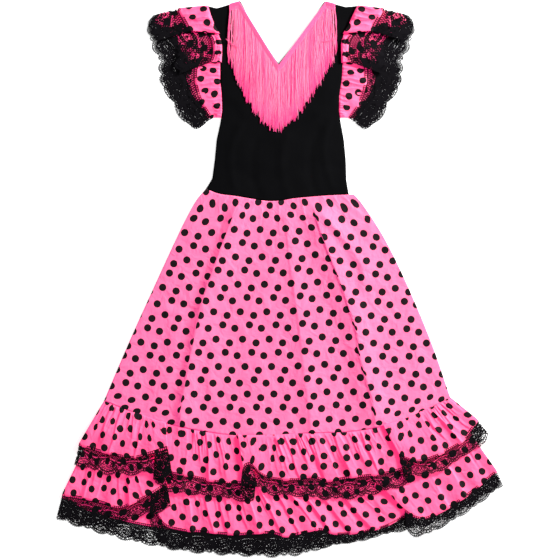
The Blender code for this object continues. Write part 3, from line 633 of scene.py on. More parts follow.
@dataclass(frozen=True)
class PrintedCotton(Finish):
    """Thin woven cotton and polyester, dyed neon pink and screen printed with black dots.

    The plain weave gives the eye a matt, faintly sheened face, and the ink sits flat and crisp on it.
    """

    name: str = "printed_cotton"
    ground: str = "#f9758f"
    pale: str = "#fb8097"
    # Painted glow: a pink emission that lightens the shade in folds and creases.
    painted_glow: tuple[float, float, float] = (0.42, 0.0, 0.16)
    ink: str = "#180d12"
    roughness: float = 0.72
    dot_diameter: float = 12.0
    repeat: tuple[float, float] = (42.9, 44.3)
    lean: float = 0.086
    dots: tuple[tuple[float, float], ...] = ((0.0, 0.0), (21.7, 6.0), (10.6, -20.7), (34.7, -15.2))
    first_dot: tuple[float, float] = (-46.0, 29.7)
    edge_lumps: float = 3.0
    edge_wander: float = 0.5
    edge_blur: float = 0.2
    cloud_size: float = 60.0
    thread_pitch: float = 1.1  # real threads lie 0.3 mm apart, too fine to show
    thread_depth: float = 0.04
    crumple_size: float = 17.0
    crumple_depth: float = 5.0
    relief_strength: float = 0.5
    specular: float = 0.1
    sheen: float = 0.03
    sheen_roughness: float = 0.5

    def from_dot(self, tree: NodeTree, place: NodeSocket) -> NodeSocket:
        """Distance to the middle of the nearest dot.

        Args:
            tree: the tree that gets the nodes.
            place: place on the flat cut.

        Returns:
            The distance, in mm.
        """
        leaning = leaned(tree, place, self.lean)
        width, height = self.repeat
        first_x, first_y = self.first_dot
        nearest = None
        for dot_x, dot_y in self.dots:
            shift = (0.5 - (first_x + dot_x) / width, 0.5 - (first_y + dot_y) / height, 0)
            tiled = compute(tree, "VectorMath", "MULTIPLY_ADD", leaning,
                            (1 / (width * MM), 1 / (height * MM), 0), shift)
            inside = compute(tree, "VectorMath", "FRACTION", tiled)
            centred = compute(tree, "VectorMath", "MULTIPLY_ADD", inside,
                              (width, height, 0), (-width / 2, -height / 2, 0))
            away = compute(tree, "VectorMath", "LENGTH", leaned(tree, centred, -self.lean))
            nearest = away if nearest is None else compute(tree, "Math", "MINIMUM", nearest, away)
        return nearest

    def inputs(self, tree: NodeTree) -> dict:
        """Ink on dyed cloth, a painted glow that lightens its shade, its weave and its crumples.

        Args:
            tree: the tree that gets the nodes.

        Returns:
            What feeds the shader.
        """
        place = add_node(tree, "UVMap", uv_map="cut").outputs["UV"]
        edge = compute(tree, "Math", "MULTIPLY_ADD", noise(tree, place, self.edge_lumps, 1.0),
                       self.edge_wander, self.from_dot(tree, place))
        radius = (self.dot_diameter + self.edge_wander) / 2
        ink = add_node(tree, "MapRange", {"Value": edge, "From Min": radius + self.edge_blur,
                                          "From Max": radius - self.edge_blur}).outputs[0]
        clouds = noise(tree, place, self.cloud_size, 2.0)
        ground = mixed(tree, clouds, linear(self.ground), linear(self.pale))
        warp, weft = (threads(tree, place, self.thread_pitch, way, 0.6) for way in "XY")
        weave = compute(tree, "Math", "ADD", warp, weft)
        crumple = noise(tree, place, self.crumple_size, 3.0, Roughness=0.5, Distortion=0.6)
        flat = relief(tree, weave, self.relief_strength, self.thread_depth)
        return {
            "Base Color": mixed(tree, ink, ground, linear(self.ink)),
            # A neon dye does turn some blue light to red; here that is a painted glow, an emission that
            # lightens the shade in the folds so that they stay vivid.
            "Emission Color": mixed(tree, ink, (*self.painted_glow, 1.0), (0.0, 0.0, 0.0, 1.0)),
            "Emission Strength": 1.0,
            "Normal": relief(tree, crumple, self.relief_strength, self.crumple_depth, Normal=flat),
            "Roughness": self.roughness,
            "Specular IOR Level": self.specular,
            "Sheen Weight": self.sheen,
            "Sheen Roughness": self.sheen_roughness,
        }


@dataclass(frozen=True)
class KnittedJersey(Finish):
    """Black polyester and elastane jersey, circular knitted and piece dyed.

    The tiny loops drink the light, so it looks flat black with the faintest grey on its raised folds.
    """

    name: str = "knitted_jersey"
    dye: str = "#060607"
    worn: str = "#0c0c0e"
    roughness: float = 0.85
    cloud_size: float = 40.0
    loop_pitch: float = 1.4  # real loops are 0.5 mm, too fine to show
    loop_depth: float = 0.06
    relief_strength: float = 0.4
    specular: float = 0.03

    def inputs(self, tree: NodeTree) -> dict:
        """Uneven dye, and the loops.

        Args:
            tree: the tree that gets the nodes.

        Returns:
            What feeds the shader.
        """
        place = add_node(tree, "UVMap", uv_map="cut").outputs["UV"]
        loops = threads(tree, place, self.loop_pitch, "X", 1.0)
        return {
            "Base Color": shades(tree, noise(tree, place, self.cloud_size, 2.0), self.dye, self.worn),
            "Normal": relief(tree, loops, self.relief_strength, self.loop_depth),
            "Roughness": self.roughness,
            "Specular IOR Level": self.specular,
        }


@dataclass(frozen=True)
class RaschelLace(Finish):
    """Black nylon lace, knitted on a raschel machine: real threads here, so only their yarn is drawn."""

    name: str = "raschel_lace"
    dye: str = "#0c0a0d"
    worn: str = "#151317"
    roughness: float = 0.6
    yarn_size: float = 1.5
    specular: float = 0.03

    def inputs(self, tree: NodeTree) -> dict:
        """Uneven dye.

        Args:
            tree: the tree that gets the nodes.

        Returns:
            What feeds the shader.
        """
        place = add_node(tree, "TexCoord").outputs["Object"]
        return {
            "Base Color": shades(tree, noise(tree, place, self.yarn_size, 1.0), self.dye, self.worn),
            "Roughness": self.roughness,
            "Specular IOR Level": self.specular,
        }


@dataclass(frozen=True)
class FringeYarn(Finish):
    """Pink rayon yarn, twisted and cut: silky strands, each dyed a shade apart."""

    name: str = "fringe_yarn"
    dark: str = "#e42f78"
    middle: str = "#fd76a4"
    light: str = "#ffaac4"
    # Painted glow: a pink emission that lightens the shade between the strands.
    painted_glow: tuple[float, float, float, float] = (0.30, 0.0, 0.07, 1.0)
    roughness: float = 0.42
    specular: float = 0.2

    def inputs(self, tree: NodeTree) -> dict:
        """Dye by the tone of each strand, and a painted glow that lightens its shade.

        Args:
            tree: the tree that gets the nodes.

        Returns:
            What feeds the shader.
        """
        tone = add_node(tree, "Attribute", attribute_name="tone").outputs["Fac"]
        return {
            "Base Color": shades(tree, tone, self.dark, self.light, self.middle),
            "Roughness": self.roughness,
            "Specular IOR Level": self.specular,
            # Painted glow that lightens the strands' shade.
            "Emission Color": self.painted_glow,
            "Emission Strength": 1.0,
        }


@dataclass(frozen=True)
class OpalTable(Finish):
    """Opal acrylic table top lit from below, so that it looks pure white with hardly a shadow."""

    name: str = "opal_acrylic"
    white: str = "#f4f4f4"
    roughness: float = 0.9
    painted_glow: float = 0.7

    def inputs(self, tree: NodeTree) -> dict:
        """White that glows."""
        return {"Base Color": linear(self.white), "Roughness": self.roughness,
                "Emission Color": (1.0, 1.0, 1.0, 1.0), "Emission Strength": self.painted_glow}


@dataclass
class Gathers:
    """Creases of a gathered strip: the main ones listed, and small uneven ones between them."""

    creases: Sequence[Crease]
    pitch: float = 9.0
    wander: float = 1.0
    hidden: float = 1.0
    small_depth: float = 0.7
    height: float = 2.0
    long_side: float = 6.0
    sharp_side: float = 1.1
    clear: float = 0.45
    small_reach: tuple[float, float] = (0.2, 0.75)
    small_spread: tuple[float, float] = (0.6, 1.4)
    small_lean: float = 4.0
    pitch_spread: tuple[float, float] = (0.55, 1.45)
    start_ease: float = 0.12
    end_ease: float = 0.3
    turned_every: int = 4
    margin: float = 3.0
    wander_turns: float = 7.0
    seed: int = 3

    def all_creases(self, length: float) -> list[Crease]:
        """Main creases and small ones, over a strip.

        Args:
            length: length of the strip, in mm.

        Returns:
            The creases, in order along it.
        """
        chance = np.random.default_rng(self.seed)
        found = list(self.creases)
        place = self.margin
        while place < length - self.margin:
            if all(abs(place - c.place) > self.clear * self.pitch for c in self.creases):
                reach = float(chance.uniform(*self.small_reach))
                depth = self.small_depth * float(chance.uniform(*self.small_spread))
                lean = float(chance.uniform(-self.small_lean, self.small_lean))
                found.append(Crease(place, 0.0, reach, depth, lean))
            place += self.pitch * float(chance.uniform(*self.pitch_spread))
        return sorted(found)

    def press(self, runs: ndarray, down: ndarray, wide: ndarray) -> tuple[ndarray, ndarray]:
        """Height of the creases, and where each place lies along the flat cut.

        Threads of the cloth run down midway between creases, which hide what is spare between the threads.

        Args:
            runs: place of each row along the hem, in mm.
            down: shares of the way from the seam to the hem.
            wide: how far across the plain strip each place lies, for each share and row.

        Returns:
            The height and the place along the flat cut, in mm, at each share and row.
        """
        height = np.zeros((len(down), len(runs)))
        cut = np.zeros_like(height)
        creases = self.all_creases(float(runs[-1]))
        place, starts, ends, depth, lean = (np.array([c[i] for c in creases]) for i in range(5))
        lines = place + lean * down[:, None]
        lines = lines + self.wander * np.sin(down[:, None] * self.wander_turns + place)
        lines = np.maximum.accumulate(lines, axis=1)
        sides = np.zeros((len(down), 1))
        middles = np.concatenate((sides, (lines[:, 1:] + lines[:, :-1]) / 2, sides + runs[-1]), axis=1)
        marks = np.array([np.interp(m, runs, w) for m, w in zip(middles, wide)])
        spans = np.concatenate(([0.0], np.cumsum(np.diff(marks[-1]) + self.hidden * depth)))
        for row, share in enumerate(down):
            which = np.clip(np.searchsorted(middles[row], runs, "right") - 1, 0, len(creases) - 1)
            off = runs - lines[row][which]
            reach = smoothstep((share - starts + self.start_ease) / self.start_ease)
            reach = reach * smoothstep((ends + self.end_ease - share) / self.end_ease)
            inside = wide[row] - marks[row][which]
            span = (marks[row][which + 1] - marks[row][which]).clip(0.01)
            spare = spans[which + 1] - spans[which] - span
            firm = reach[which]
            crisp = firm * smoothstep(off / self.sharp_side + 0.5) + (1 - firm) * inside / span
            cut[row] = spans[which] + inside + spare * crisp
            for k in range(len(creases)):
                away = (runs - lines[row][k]) * (1 if k % self.turned_every else -1)
                crest = ridge(away, self.long_side, self.sharp_side)
                height[row] += self.height * depth[k] * reach[k] * crest
        return height, cut


@dataclass
class Strip:
    """A gathered strip as it lies, from its seam to its hem, and on to the edge of its lace."""

    table: Sequence[RuffleRow]
    seam_of: Callable[[ndarray], ndarray]
    height: Callable[[ndarray, ndarray, ndarray, ndarray], ndarray]
    step: float = 1.15
    curve_steps: int = 24
    fewest: int = 8
    rows: ndarray = field(init=False)
    runs: ndarray = field(init=False)
    seams: ndarray = field(init=False)

    def __post_init__(self) -> None:
        """Work out the strip's sections, evenly spaced along its hem."""
        scaled = [row._replace(layer=row.layer * LAYER_STEP) for row in self.table]
        fine = smooth_rows(scaled, self.curve_steps)
        fine[:, 5] = np.clip(fine[:, 5], 0, 2 * LAYER_STEP)
        runs = run_lengths(fine[:, [1, 2, 5]])
        count = max(int(runs[-1] / self.step), self.fewest)
        self.rows = at_runs(fine, runs, np.linspace(0, runs[-1], count))
        self.seams = self.seam_of(self.rows[:, 0])
        self.runs = run_lengths(self.rows[:, [1, 2, 5]])

    def places(self, down: ndarray) -> ndarray:
        """Places at shares of the way down, with the height of the plain strip.

        Args:
            down: the shares.

        Returns:
            Points in mm, for each share and section.
        """
        flat = self.seams[None] + (self.rows[:, 1:3] - self.seams)[None] * down[:, None, None]
        heights = self.height(self.rows, self.seams, flat[..., 0], down[:, None] * np.ones(len(self.rows)))
        return np.concatenate((flat, heights[..., None]), axis=2)

    def spread(self, points: ndarray) -> tuple[ndarray, ndarray]:
        """How far places lie across the strip, square to its sections, and how far they slip down.

        Args:
            points: places on the plain strip, for each share and section.

        Returns:
            Both lengths in mm.
        """
        ways = self.rows[:, 1:3] - self.seams
        ways = (ways / np.linalg.norm(ways, axis=1)[:, None])[:-1]
        steps = np.diff(points[..., :2], axis=1)
        across = np.abs(steps[..., 0] * ways[:, 1] - steps[..., 1] * ways[:, 0])
        slip = np.concatenate(([0], np.cumsum((steps * ways).sum(axis=2).mean(axis=0))))
        none = np.zeros((len(points), 1))
        return np.concatenate((none, np.cumsum(across, axis=1)), axis=1), slip

    def hem(self) -> ndarray:
        """Hem line, with its heights."""
        return self.places(np.array([1.0]))[0]

    def edge(self) -> ndarray:
        """Lace edge, level with the hem."""
        return np.concatenate((self.rows[:, 3:5], self.hem()[:, 2:]), axis=1)


def near_fold(fold: Fold, x: ndarray, y: ndarray, lead: float) -> tuple[ndarray, ndarray]:
    """Distance of places from a long fold, and how much of the fold is left there.

    Args:
        fold: the fold.
        x: places across, in mm.
        y: places up, in mm.
        lead: how far above its first point the fold starts, in mm.

    Returns:
        The distance in mm, and the share.
    """
    # Turned round, so that its heights come first and grow
    route = smooth_rows(fold.route, CURVE_STEPS)[::-1, ::-1]
    ends = smoothstep((route[-1, 0] + lead - y) / FOLD_FADE)
    return x - on_table(route, y), ends * smoothstep((y - route[0, 0] + FOLD_TAIL) / FOLD_FADE)


def fold_height(x: ndarray, y: ndarray) -> ndarray:
    """Height that the skirt's long folds add at each place.

    Args:
        x: places across, in mm.
        y: places up, in mm.

    Returns:
        The height in mm.
    """
    total = np.zeros(np.broadcast(x, y).shape)
    for fold in SKIRT_FOLDS:
        off, ends = near_fold(fold, x, y, FOLD_LEAD)
        width = np.where(off < 0, fold.left_width, fold.right_width)
        total += fold.height * np.exp(-((off / width) ** 2)) * ends
    return total


def upper_height(rows: ndarray, seams: ndarray, x: ndarray, down: ndarray) -> ndarray:
    """Height of the upper front ruffle: from the skirt's edge up over the lower ruffle.

    Args:
        rows: the strip's sections.
        seams: their places on the seam.
        x: places across, in mm.
        down: shares of the way down.

    Returns:
        The height in mm, at each share and section.
    """
    first, last = UPPER_SEAM[0][0], UPPER_SEAM[-1][0]
    along = rows[:, 0]
    free = smoothstep(np.minimum(along - first, last - along) / SIDE_CALM)
    start = FRONT_MID + crown((along - first) / (last - first), SKIRT_RISE)
    start = start + fold_height(along, seams[:, 1]) * free
    ride = on_table(UPPER_HEM_HEIGHT, x)
    return start + (ride - start) * smoothstep(down / UPPER_RIDE_DOWN) + rows[:, 5]


def tucked_height(rows: ndarray, seams: ndarray, x: ndarray, down: ndarray) -> ndarray:
    """Height of the lower back ruffle: over the upper one's hem and lace, then flat on the surface."""
    start, end = BACK_TUCK
    return FRONT_MID + (BACK_MID - FRONT_MID) * smoothstep((down - start) / (end - start))


def level(middle: float) -> Callable[[ndarray, ndarray, ndarray, ndarray], ndarray]:
    """Height of a strip that lies level but for its layers."""
    return lambda rows, seams, x, down: middle + rows[:, 5] + 0 * x


def seam_below(points: ndarray, gap: float) -> Callable[[ndarray], ndarray]:
    """Places just under an edge, at given places across."""
    return lambda x: np.stack((x, on_table(points, x) - gap), axis=1)


def bodice_edge(y: ndarray, side: Side) -> ndarray:
    """Left or right edge of the bodice at each height."""
    return on_table([(row.y, row.left if side is Side.LEFT else row.right) for row in sorted(BODICE)], y)


def armhole(side: Side) -> Callable[[ndarray], ndarray]:
    """Places just outside the bodice's armhole, at given heights."""
    out = -ARMHOLE_GAP if side is Side.LEFT else ARMHOLE_GAP
    return lambda y: np.stack((bodice_edge(y, side) + out, y), axis=1)


def bodice_height(x: ndarray, y: ndarray) -> ndarray:
    """Height of the middle of the front bodice's wall.

    Args:
        x: places across, in mm.
        y: places up, in mm.

    Returns:
        The height in mm.
    """
    left, right = (bodice_edge(y, side) for side in Side)
    flat = smoothstep((y - SHOULDER_FLAT_FROM) / (BODICE[0].y - SHOULDER_FLAT_FROM))
    return FRONT_MID + crown(np.clip((x - left) / (right - left), 0, 1), BODICE_RISE) * (1 - flat)


def mirrored(rows: Sequence[RuffleRow]) -> tuple[RuffleRow, ...]:
    """Same strip on the other sleeve."""
    return tuple(r._replace(hem_x=2 * AXIS_X - r.hem_x, lace_x=2 * AXIS_X - r.lace_x) for r in rows)


@dataclass
class Bodice:
    """Jersey bodice with a V neck: a front on a back, with shoulder straps in one piece with them."""

    finish: Material
    columns: int = 36
    rows: int = 100
    side_calm: float = 8.0
    neck_calm: tuple[float, float] = (20.0, 60.0)
    flat: tuple[float, float] = (0.25, 0.33)
    flat_area: float = 0.060

    def half(self, side: Side, layer: Layer) -> Cloth:
        """Grid of one half of the panel, from its side to the neck edge and the middle.

        Args:
            side: which half.
            layer: front or back.

        Returns:
            The half as a cloth grid.
        """
        high, low = BODICE[0].y, BODICE[-1].y
        y = np.linspace(high, low, self.rows)[:, None]
        widening = (NECK_TOP_X[side] - NECK_TIP_X) * np.maximum(y - NECK_TIP_Y, 0)
        neck = NECK_TIP_X + widening / (high - NECK_TIP_Y)
        left, right = (bodice_edge(y, s) for s in Side)
        start, end = (left, neck) if side is Side.LEFT else (neck, right)
        x = start + (end - start) * np.linspace(0, 1, self.columns)[None, :]
        height = BACK_MID + 0 * x
        if layer is Layer.FRONT:
            fade = smoothstep(np.minimum(x - left, right - x) / self.side_calm)
            fade = fade * smoothstep((NECK_TIP_Y - self.neck_calm[0] - y) / self.neck_calm[1])
            height = bodice_height(x, y) + dented(x, y + 0 * x, BODICE_DENTS) * fade
        moved = y + smoothstep(1 - (high - y) / SHOULDER_REACH) * (on_table(SHOULDER, x) - high)
        to_waist = on_table(smooth_rows(WAIST, CURVE_STEPS), x) + WAIST_GAP - low
        moved = moved + smoothstep(1 - (y - low) / WAIST_REACH) * to_waist
        return Cloth(np.stack((x, moved, height), axis=2), np.stack((x, moved), axis=2))

    def build(self) -> list[Object]:
        """Make the front and the back panel, each of two halves that share their middle points below the V.

        Returns:
            The two panels.
        """
        size = self.rows * self.columns
        heights = np.linspace(BODICE[0].y, BODICE[-1].y, self.rows)
        under = np.flatnonzero(heights <= NECK_TIP_Y) * self.columns
        use = np.arange(2 * size)
        use[size + under] = under + self.columns - 1
        faces = grid_faces(self.rows, self.columns)
        faces = use[np.concatenate((faces, faces + size))]
        kept, index = np.unique(faces, return_inverse=True)
        made = []
        for layer in Layer:
            halves = [self.half(side, layer) for side in Side]
            points, cut = (np.concatenate(parts).reshape(2 * size, -1)[kept] for parts in zip(*halves))
            made.append(new_piece(f"bodice_{layer.value}", "bodice_jersey", self.finish, points,
                                  [index.reshape(faces.shape)], cut))
        return made


@dataclass
class Skirt:
    """Dotted skirt, gathered at the waist and widening to the upper ruffle's seam."""

    finish: Material
    columns: int = 270
    rows: int = 165
    back_columns: int = 60
    back_rows: int = 30
    waist_fullness: float = 0.07
    waist_reach: float = 0.22
    waist_hidden: float = 1.6
    waist_sides: tuple[float, float] = (1.5, 6.0)
    crest_height: float = 0.7
    crest_sides: tuple[float, float] = (24.0, 1.8)
    flat: tuple[float, float] = (0.60, 0.41)
    flat_area: float = 0.172

    def places(self, share: ndarray, down: ndarray) -> ndarray:
        """Places between the waist, the seam of the ruffle and the two side seams.

        Args:
            share: shares of the way across.
            down: shares of the way down.

        Returns:
            Points in mm, for each pair of them.
        """
        top, low = at_shares(WAIST, share), at_shares(UPPER_SEAM, share)
        left, right = at_shares(SKIRT_LEFT, down), at_shares(SKIRT_RIGHT, down)
        s, d = share[None, :, None], down[:, None, None]
        sides = left[:, None] * (1 - s) + right[:, None] * s
        upper = top[0] * (1 - s) + top[-1] * s
        lower = low[0] * (1 - s) + low[-1] * s
        return top[None] * (1 - d) + low[None] * d + sides - upper * (1 - d) - lower * d

    def front(self) -> Cloth:
        """Front panel with its folds, waist gathers and soft wrinkles.

        Returns:
            The panel as a cloth grid.
        """
        share, down = np.linspace(0, 1, self.columns), np.linspace(0, 1, self.rows)
        flat = self.places(share, down)
        x, y = flat[..., 0], flat[..., 1]
        sides = smoothstep(share / SIDE_FADE) * smoothstep((1 - share) / SIDE_FADE)
        height = fold_height(x, y) + dented(x, y, SKIRT_DENTS)
        hidden, slipped = np.zeros_like(x), np.zeros_like(x)
        width = x[:, -1:] - x[:, :1]
        for crease in WAIST_CREASES:
            off = (share[None, :] - crease.place - crease.lean * down[:, None] / crease.end) * width
            reach = smoothstep((crease.end - down[:, None]) / crease.end)
            height += crease.depth * reach * ridge(off, *self.waist_sides)
            hidden += self.waist_hidden * crease.depth * reach * smoothstep(off / 2 + 0.5)
        for fold in SKIRT_FOLDS:
            off, ends = near_fold(fold, x, y, 0.0)
            past = ends * smoothstep(off / (FOLD_CRISP if fold.hidden > 0 else FOLD_SOFT) + 0.5)
            hidden += fold.hidden * past
            slipped += fold.slip * past
            height += self.crest_height * fold.crisp * ends * ridge(off, *self.crest_sides)
        rise = BODICE_RISE + (SKIRT_RISE - BODICE_RISE) * down[:, None]
        z = FRONT_MID + crown(share[None, :], rise) + sides[None, :] * height
        full = 1 + self.waist_fullness * (1 - smoothstep(down / self.waist_reach))
        still = self.columns // 3
        cut_x = x * full[:, None] + hidden - hidden[:, still][:, None]
        cut_y = y + slipped - slipped[:, still][:, None]
        return Cloth(np.stack((x, y, z), axis=2), np.stack((cut_x, cut_y), axis=2))

    def back(self) -> Cloth:
        """Back panel, flat on the surface."""
        flat = self.places(np.linspace(0, 1, self.back_columns), np.linspace(0, 1, self.back_rows))
        return Cloth(np.concatenate((flat, np.full(flat.shape[:2] + (1,), BACK_MID)), axis=2), flat)

    def build(self) -> list[Object]:
        """Make the front and the back panel."""
        cloths = {Layer.FRONT: self.front(), Layer.BACK: self.back()}
        return [cloth_piece(f"skirt_{layer.value}", self.finish, cloth) for layer, cloth in cloths.items()]


@dataclass
class Ruffle:
    """A gathered strip of printed cloth, which may wave but where it is folded over itself."""

    name: str
    strip: Strip
    finish: Material
    gathers: Gathers | None
    turns: Sequence[float]
    first_cut: tuple[float, float]
    wave_height: float = 1.1
    wave_pitch: float = 38.0
    wave_wander: float = 47.0
    swell_share: float = 0.06
    swell_loss: float = 0.25
    turned_height: float = 0.25
    sunk: float = 0.45
    rows: int = 30
    flat_rows: int = 9

    def gathered(self, points: ndarray, down: ndarray, along: ndarray) -> tuple[ndarray, ndarray]:
        """Height of the gathers and hem waves, and places along the flat cut.

        Args:
            points: places on the plain strip, for each share and section.
            down: shares of the way down.
            along: how far across the plain strip the places lie.

        Returns:
            Both lengths in mm.
        """
        runs = self.strip.runs
        pressed, along = self.gathers.press(runs, down, along)
        swell = smoothstep(down / self.swell_share)[:, None] * (1 - self.swell_loss * down[:, None])
        phase = 2 * math.pi * runs / self.wave_pitch + np.sin(runs / self.wave_wander)
        waves = self.wave_height * np.sin(phase)[None, :] * smoothstep(down)[:, None]
        height = pressed * swell - self.sunk + waves
        if self.turns:
            free = [smoothstep((np.abs(points[..., 0] - t) - FOLD_CALM) / FOLD_CALM) for t in self.turns]
            height = height * (self.turned_height + (1 - self.turned_height) * np.min(free, axis=0))
        return height, along

    def build(self) -> Object:
        """Make the strip, with a hem under its lace and, where it is gathered, an edge under its seam.

        Returns:
            The strip.
        """
        down = np.linspace(0, 1, self.rows if self.gathers else self.flat_rows)
        points = self.strip.places(down)
        along, slip = self.strip.spread(points)
        if self.gathers:
            height, along = self.gathered(points, down, along)
            points[..., 2] += height
        ways = self.strip.seams - self.strip.rows[:, 1:3]
        low = self.first_cut[1] - np.linalg.norm(ways, axis=1)[None] * down[:, None] - slip
        cut = np.stack((along + self.first_cut[0], low), axis=2)
        under = of_length(self.strip.edge() - self.strip.hem(), HEM_UNDER_LACE)
        grids = [points, points[-1:] + under[None] - np.array((0.0, 0.0, 0.3 if self.gathers else 0.2))]
        cuts = [cut, cut[-1:] - np.array((0.0, HEM_UNDER_LACE))]
        if self.gathers:
            above = np.column_stack((of_length(ways, SEAM_ALLOWANCE), np.full(len(ways), -1.0)))
            grids.insert(0, points[:1] + above[None])
            cuts.insert(0, cut[:1] + np.array((0.0, SEAM_ALLOWANCE)))
        return cloth_piece(self.name, self.finish, Cloth(np.concatenate(grids), np.concatenate(cuts)))


@dataclass
class Threads:
    """Flat yarns and solid motifs of lace, on the flat: places along and across the strip, in mm."""

    starts: list[ndarray] = field(default_factory=list)
    ends: list[ndarray] = field(default_factory=list)
    widths: list[ndarray] = field(default_factory=list)
    rims: list[ndarray] = field(default_factory=list)

    def yarn(self, points: ndarray, width: float) -> None:
        """Lay a yarn along a line of places."""
        self.pieces(points[:-1], points[1:], width)

    def pieces(self, starts: ndarray, ends: ndarray, width: float | ndarray) -> None:
        """Lay many short yarns.

        Args:
            starts: where each one starts.
            ends: where each one ends.
            width: their width, or the width of each.
        """
        self.starts.append(starts)
        self.ends.append(ends)
        self.widths.append(width + np.zeros(len(starts)))

    def leaf(self, centre: tuple[float, float], long: float, short: float, turn: float,
             sides: int = 8) -> None:
        """Lay one solid oval.

        Args:
            centre: its middle.
            long: half its length.
            short: half its width.
            turn: how far it is turned, in radians.
            sides: how many sides it is drawn with.
        """
        angle = np.arange(sides) * 2 * math.pi / sides
        a, b = long * np.cos(angle), short * np.sin(angle)
        c, s = math.cos(turn), math.sin(turn)
        self.rims.append(np.stack((centre[0] + a * c - b * s, centre[1] + a * s + b * c), axis=1))

    def shapes(self) -> tuple[ndarray, list[ndarray]]:
        """All that is laid, as points and faces.

        Returns:
            Flat points, and the groups of faces: yarns, then ovals.
        """
        starts, ends = np.concatenate(self.starts), np.concatenate(self.ends)
        beside = ends - starts
        beside = np.stack((-beside[:, 1], beside[:, 0]), axis=1) / np.linalg.norm(beside, axis=1)[:, None]
        beside *= np.concatenate(self.widths)[:, None] / 2
        corners = np.concatenate((starts - beside, ends - beside, ends + beside, starts + beside))
        quads = np.arange(len(starts))[:, None] + np.arange(4) * len(starts)
        rims = np.concatenate(self.rims)
        ovals = len(corners) + np.arange(len(rims)).reshape(len(self.rims), -1)
        return np.concatenate((corners, rims)), [quads, ovals]


@dataclass
class LaceTrim:
    """Scalloped raschel lace: a ladder header, open mesh with leaves, eyed flowers, waved ribbons, picots.

    The net is drawn a little coarser than real net, whose holes of 1 mm would not show.
    """

    name: str
    strip: Strip
    finish: Material
    width: float = 37.0
    repeat: float = 40.0
    wide_scallop: float = 28.0
    header_lines: tuple[float, float] = (0.5, 4.3)
    # For each line that waves along the scallops: its least distance from the hem, how much further it bows
    # at a wide and at a narrow scallop, all as shares of the width, and the power that shapes the bow
    edge_wave: tuple[float, ...] = (0.84, 0.16, 0.09, 0.7)
    ribbon_wave: tuple[float, ...] = (0.48, 0.29, 0.17, 0.7)
    brow_wave: tuple[float, ...] = (0.38, -0.10, 0.02, 1)
    ribbon_line: float = 1.35
    eye_place: float = 0.52
    eye_size: tuple[float, float] = (4.4, 2.7)
    net_start: float = 4.0
    net_pitch: float = 2.2
    net_slope: float = 58.0
    net_overlap: float = 1.04
    net_thread: float = 1.6
    mesh_thread: float = 1.25
    light_line: float = 1.4
    rim: float = 0.0
    rim_thread: float = 1.2
    picot_pitch: float = 3.3
    picot: tuple[float, float] = (1.2, 1.5)
    ripple: float = 0.5
    start: float = 0.0
    laid: Threads = field(default_factory=Threads)

    def length(self) -> float:
        """Length of the lace along the hem."""
        return float(self.strip.runs[-1])

    def line(self, along: ndarray, wave: tuple[float, ...]) -> ndarray:
        """Distance from the hem of a line that waves along the scallops.

        Args:
            along: places along the lace.
            wave: sizes of its waves.

        Returns:
            The distance in mm.
        """
        least, wide_bow, narrow_bow, point = wave
        place = (along + self.start) % self.repeat
        wide = place < self.wide_scallop
        rest = (place - self.wide_scallop) / (self.repeat - self.wide_scallop)
        bow = np.sin(math.pi * np.where(wide, place / self.wide_scallop, rest)) ** point
        return self.width * (least + np.where(wide, wide_bow, narrow_bow) * bow)

    def bare(self, along: ndarray, across: ndarray) -> ndarray:
        """Whether the net leaves a place bare, so that a light line or a light ring shows there.

        Args:
            along: places along the lace.
            across: their distances from the hem.

        Returns:
            True for each bare place.
        """
        half = self.light_line / 2
        away = np.abs(np.abs(across - self.line(along, self.ribbon_wave)) - self.ribbon_line) < half
        away |= np.abs(across - self.line(along, self.brow_wave)) < half
        beside = (along + self.start) % self.repeat - self.wide_scallop / 2
        eye = np.hypot(beside / self.eye_size[0], (across - self.eye_place * self.width) / self.eye_size[1])
        for ring, share in ((1.0, 0.17), (1.9, 0.12)):
            away |= np.abs(eye - ring) < share * self.light_line
        beads = (along % self.picot_pitch) / self.picot_pitch - 0.5
        away |= (np.abs(self.line(along, self.edge_wave) - across - 2.6) < 1.0) & (np.abs(beads) < 0.25)
        return away

    def net(self) -> None:
        """Lay the diamond net between the header and the free edge."""
        length = self.length()
        slope = math.radians(self.net_slope)
        way = np.array((math.cos(slope), math.sin(slope)))
        piece = self.net_pitch / 4 / math.cos(slope)
        reach = self.width / way[1]
        starts = np.arange(-reach, length + reach, self.net_pitch / math.sin(slope))[:, None]
        steps = np.arange(0, reach, piece)[None, :]
        for sign in (1, -1):
            first = paired(starts + sign * way[0] * steps, way[1] * steps + self.net_start)
            first = first.reshape(-1, 2)
            last = first + np.array((sign * way[0], way[1])) * piece * self.net_overlap
            along, across = ((first + last) / 2).T
            edge = self.line(along, self.edge_wave)
            keep = (along > 0.5) & (along < length - 0.5) & (last[:, 1] < edge - 0.3)
            keep &= ~self.bare(along, across)
            brow = self.line(along, self.brow_wave)
            widths = np.where(across < brow, self.mesh_thread, self.net_thread)
            widths = np.where(edge - across < self.rim, self.rim_thread, widths)
            self.laid.pieces(first[keep], last[keep], widths[keep])

    def header(self) -> None:
        """Lay the two rails and the ladder between them."""
        along = np.arange(0, self.length(), 2.5)
        rungs = np.arange(1, self.length(), 3.3)
        for line, width in zip(self.header_lines, (1.5, 1.2)):
            self.laid.yarn(paired(along, line), width)
        self.laid.pieces(*(paired(rungs, line) for line in self.header_lines), 1.2)

    def outlines(self) -> None:
        """Lay the yarns along the ribbon and the edge, and the picots."""
        along = np.arange(0, self.length(), 1.2)
        self.laid.yarn(paired(along, self.line(along, self.ribbon_wave)), 1.1)
        self.laid.yarn(paired(along, self.line(along, self.edge_wave) - 0.5), 1.3)
        tips = np.arange(1.6, self.length() - 1.6, self.picot_pitch)
        edge = self.line(tips, self.edge_wave)
        half, high = self.picot
        arc = [paired(tips - half * math.cos(turn), edge + high * math.sin(turn))
               for turn in np.linspace(0, math.pi, 5)]
        for starts, ends in zip(arc, arc[1:]):
            self.laid.pieces(starts, ends, 0.9)

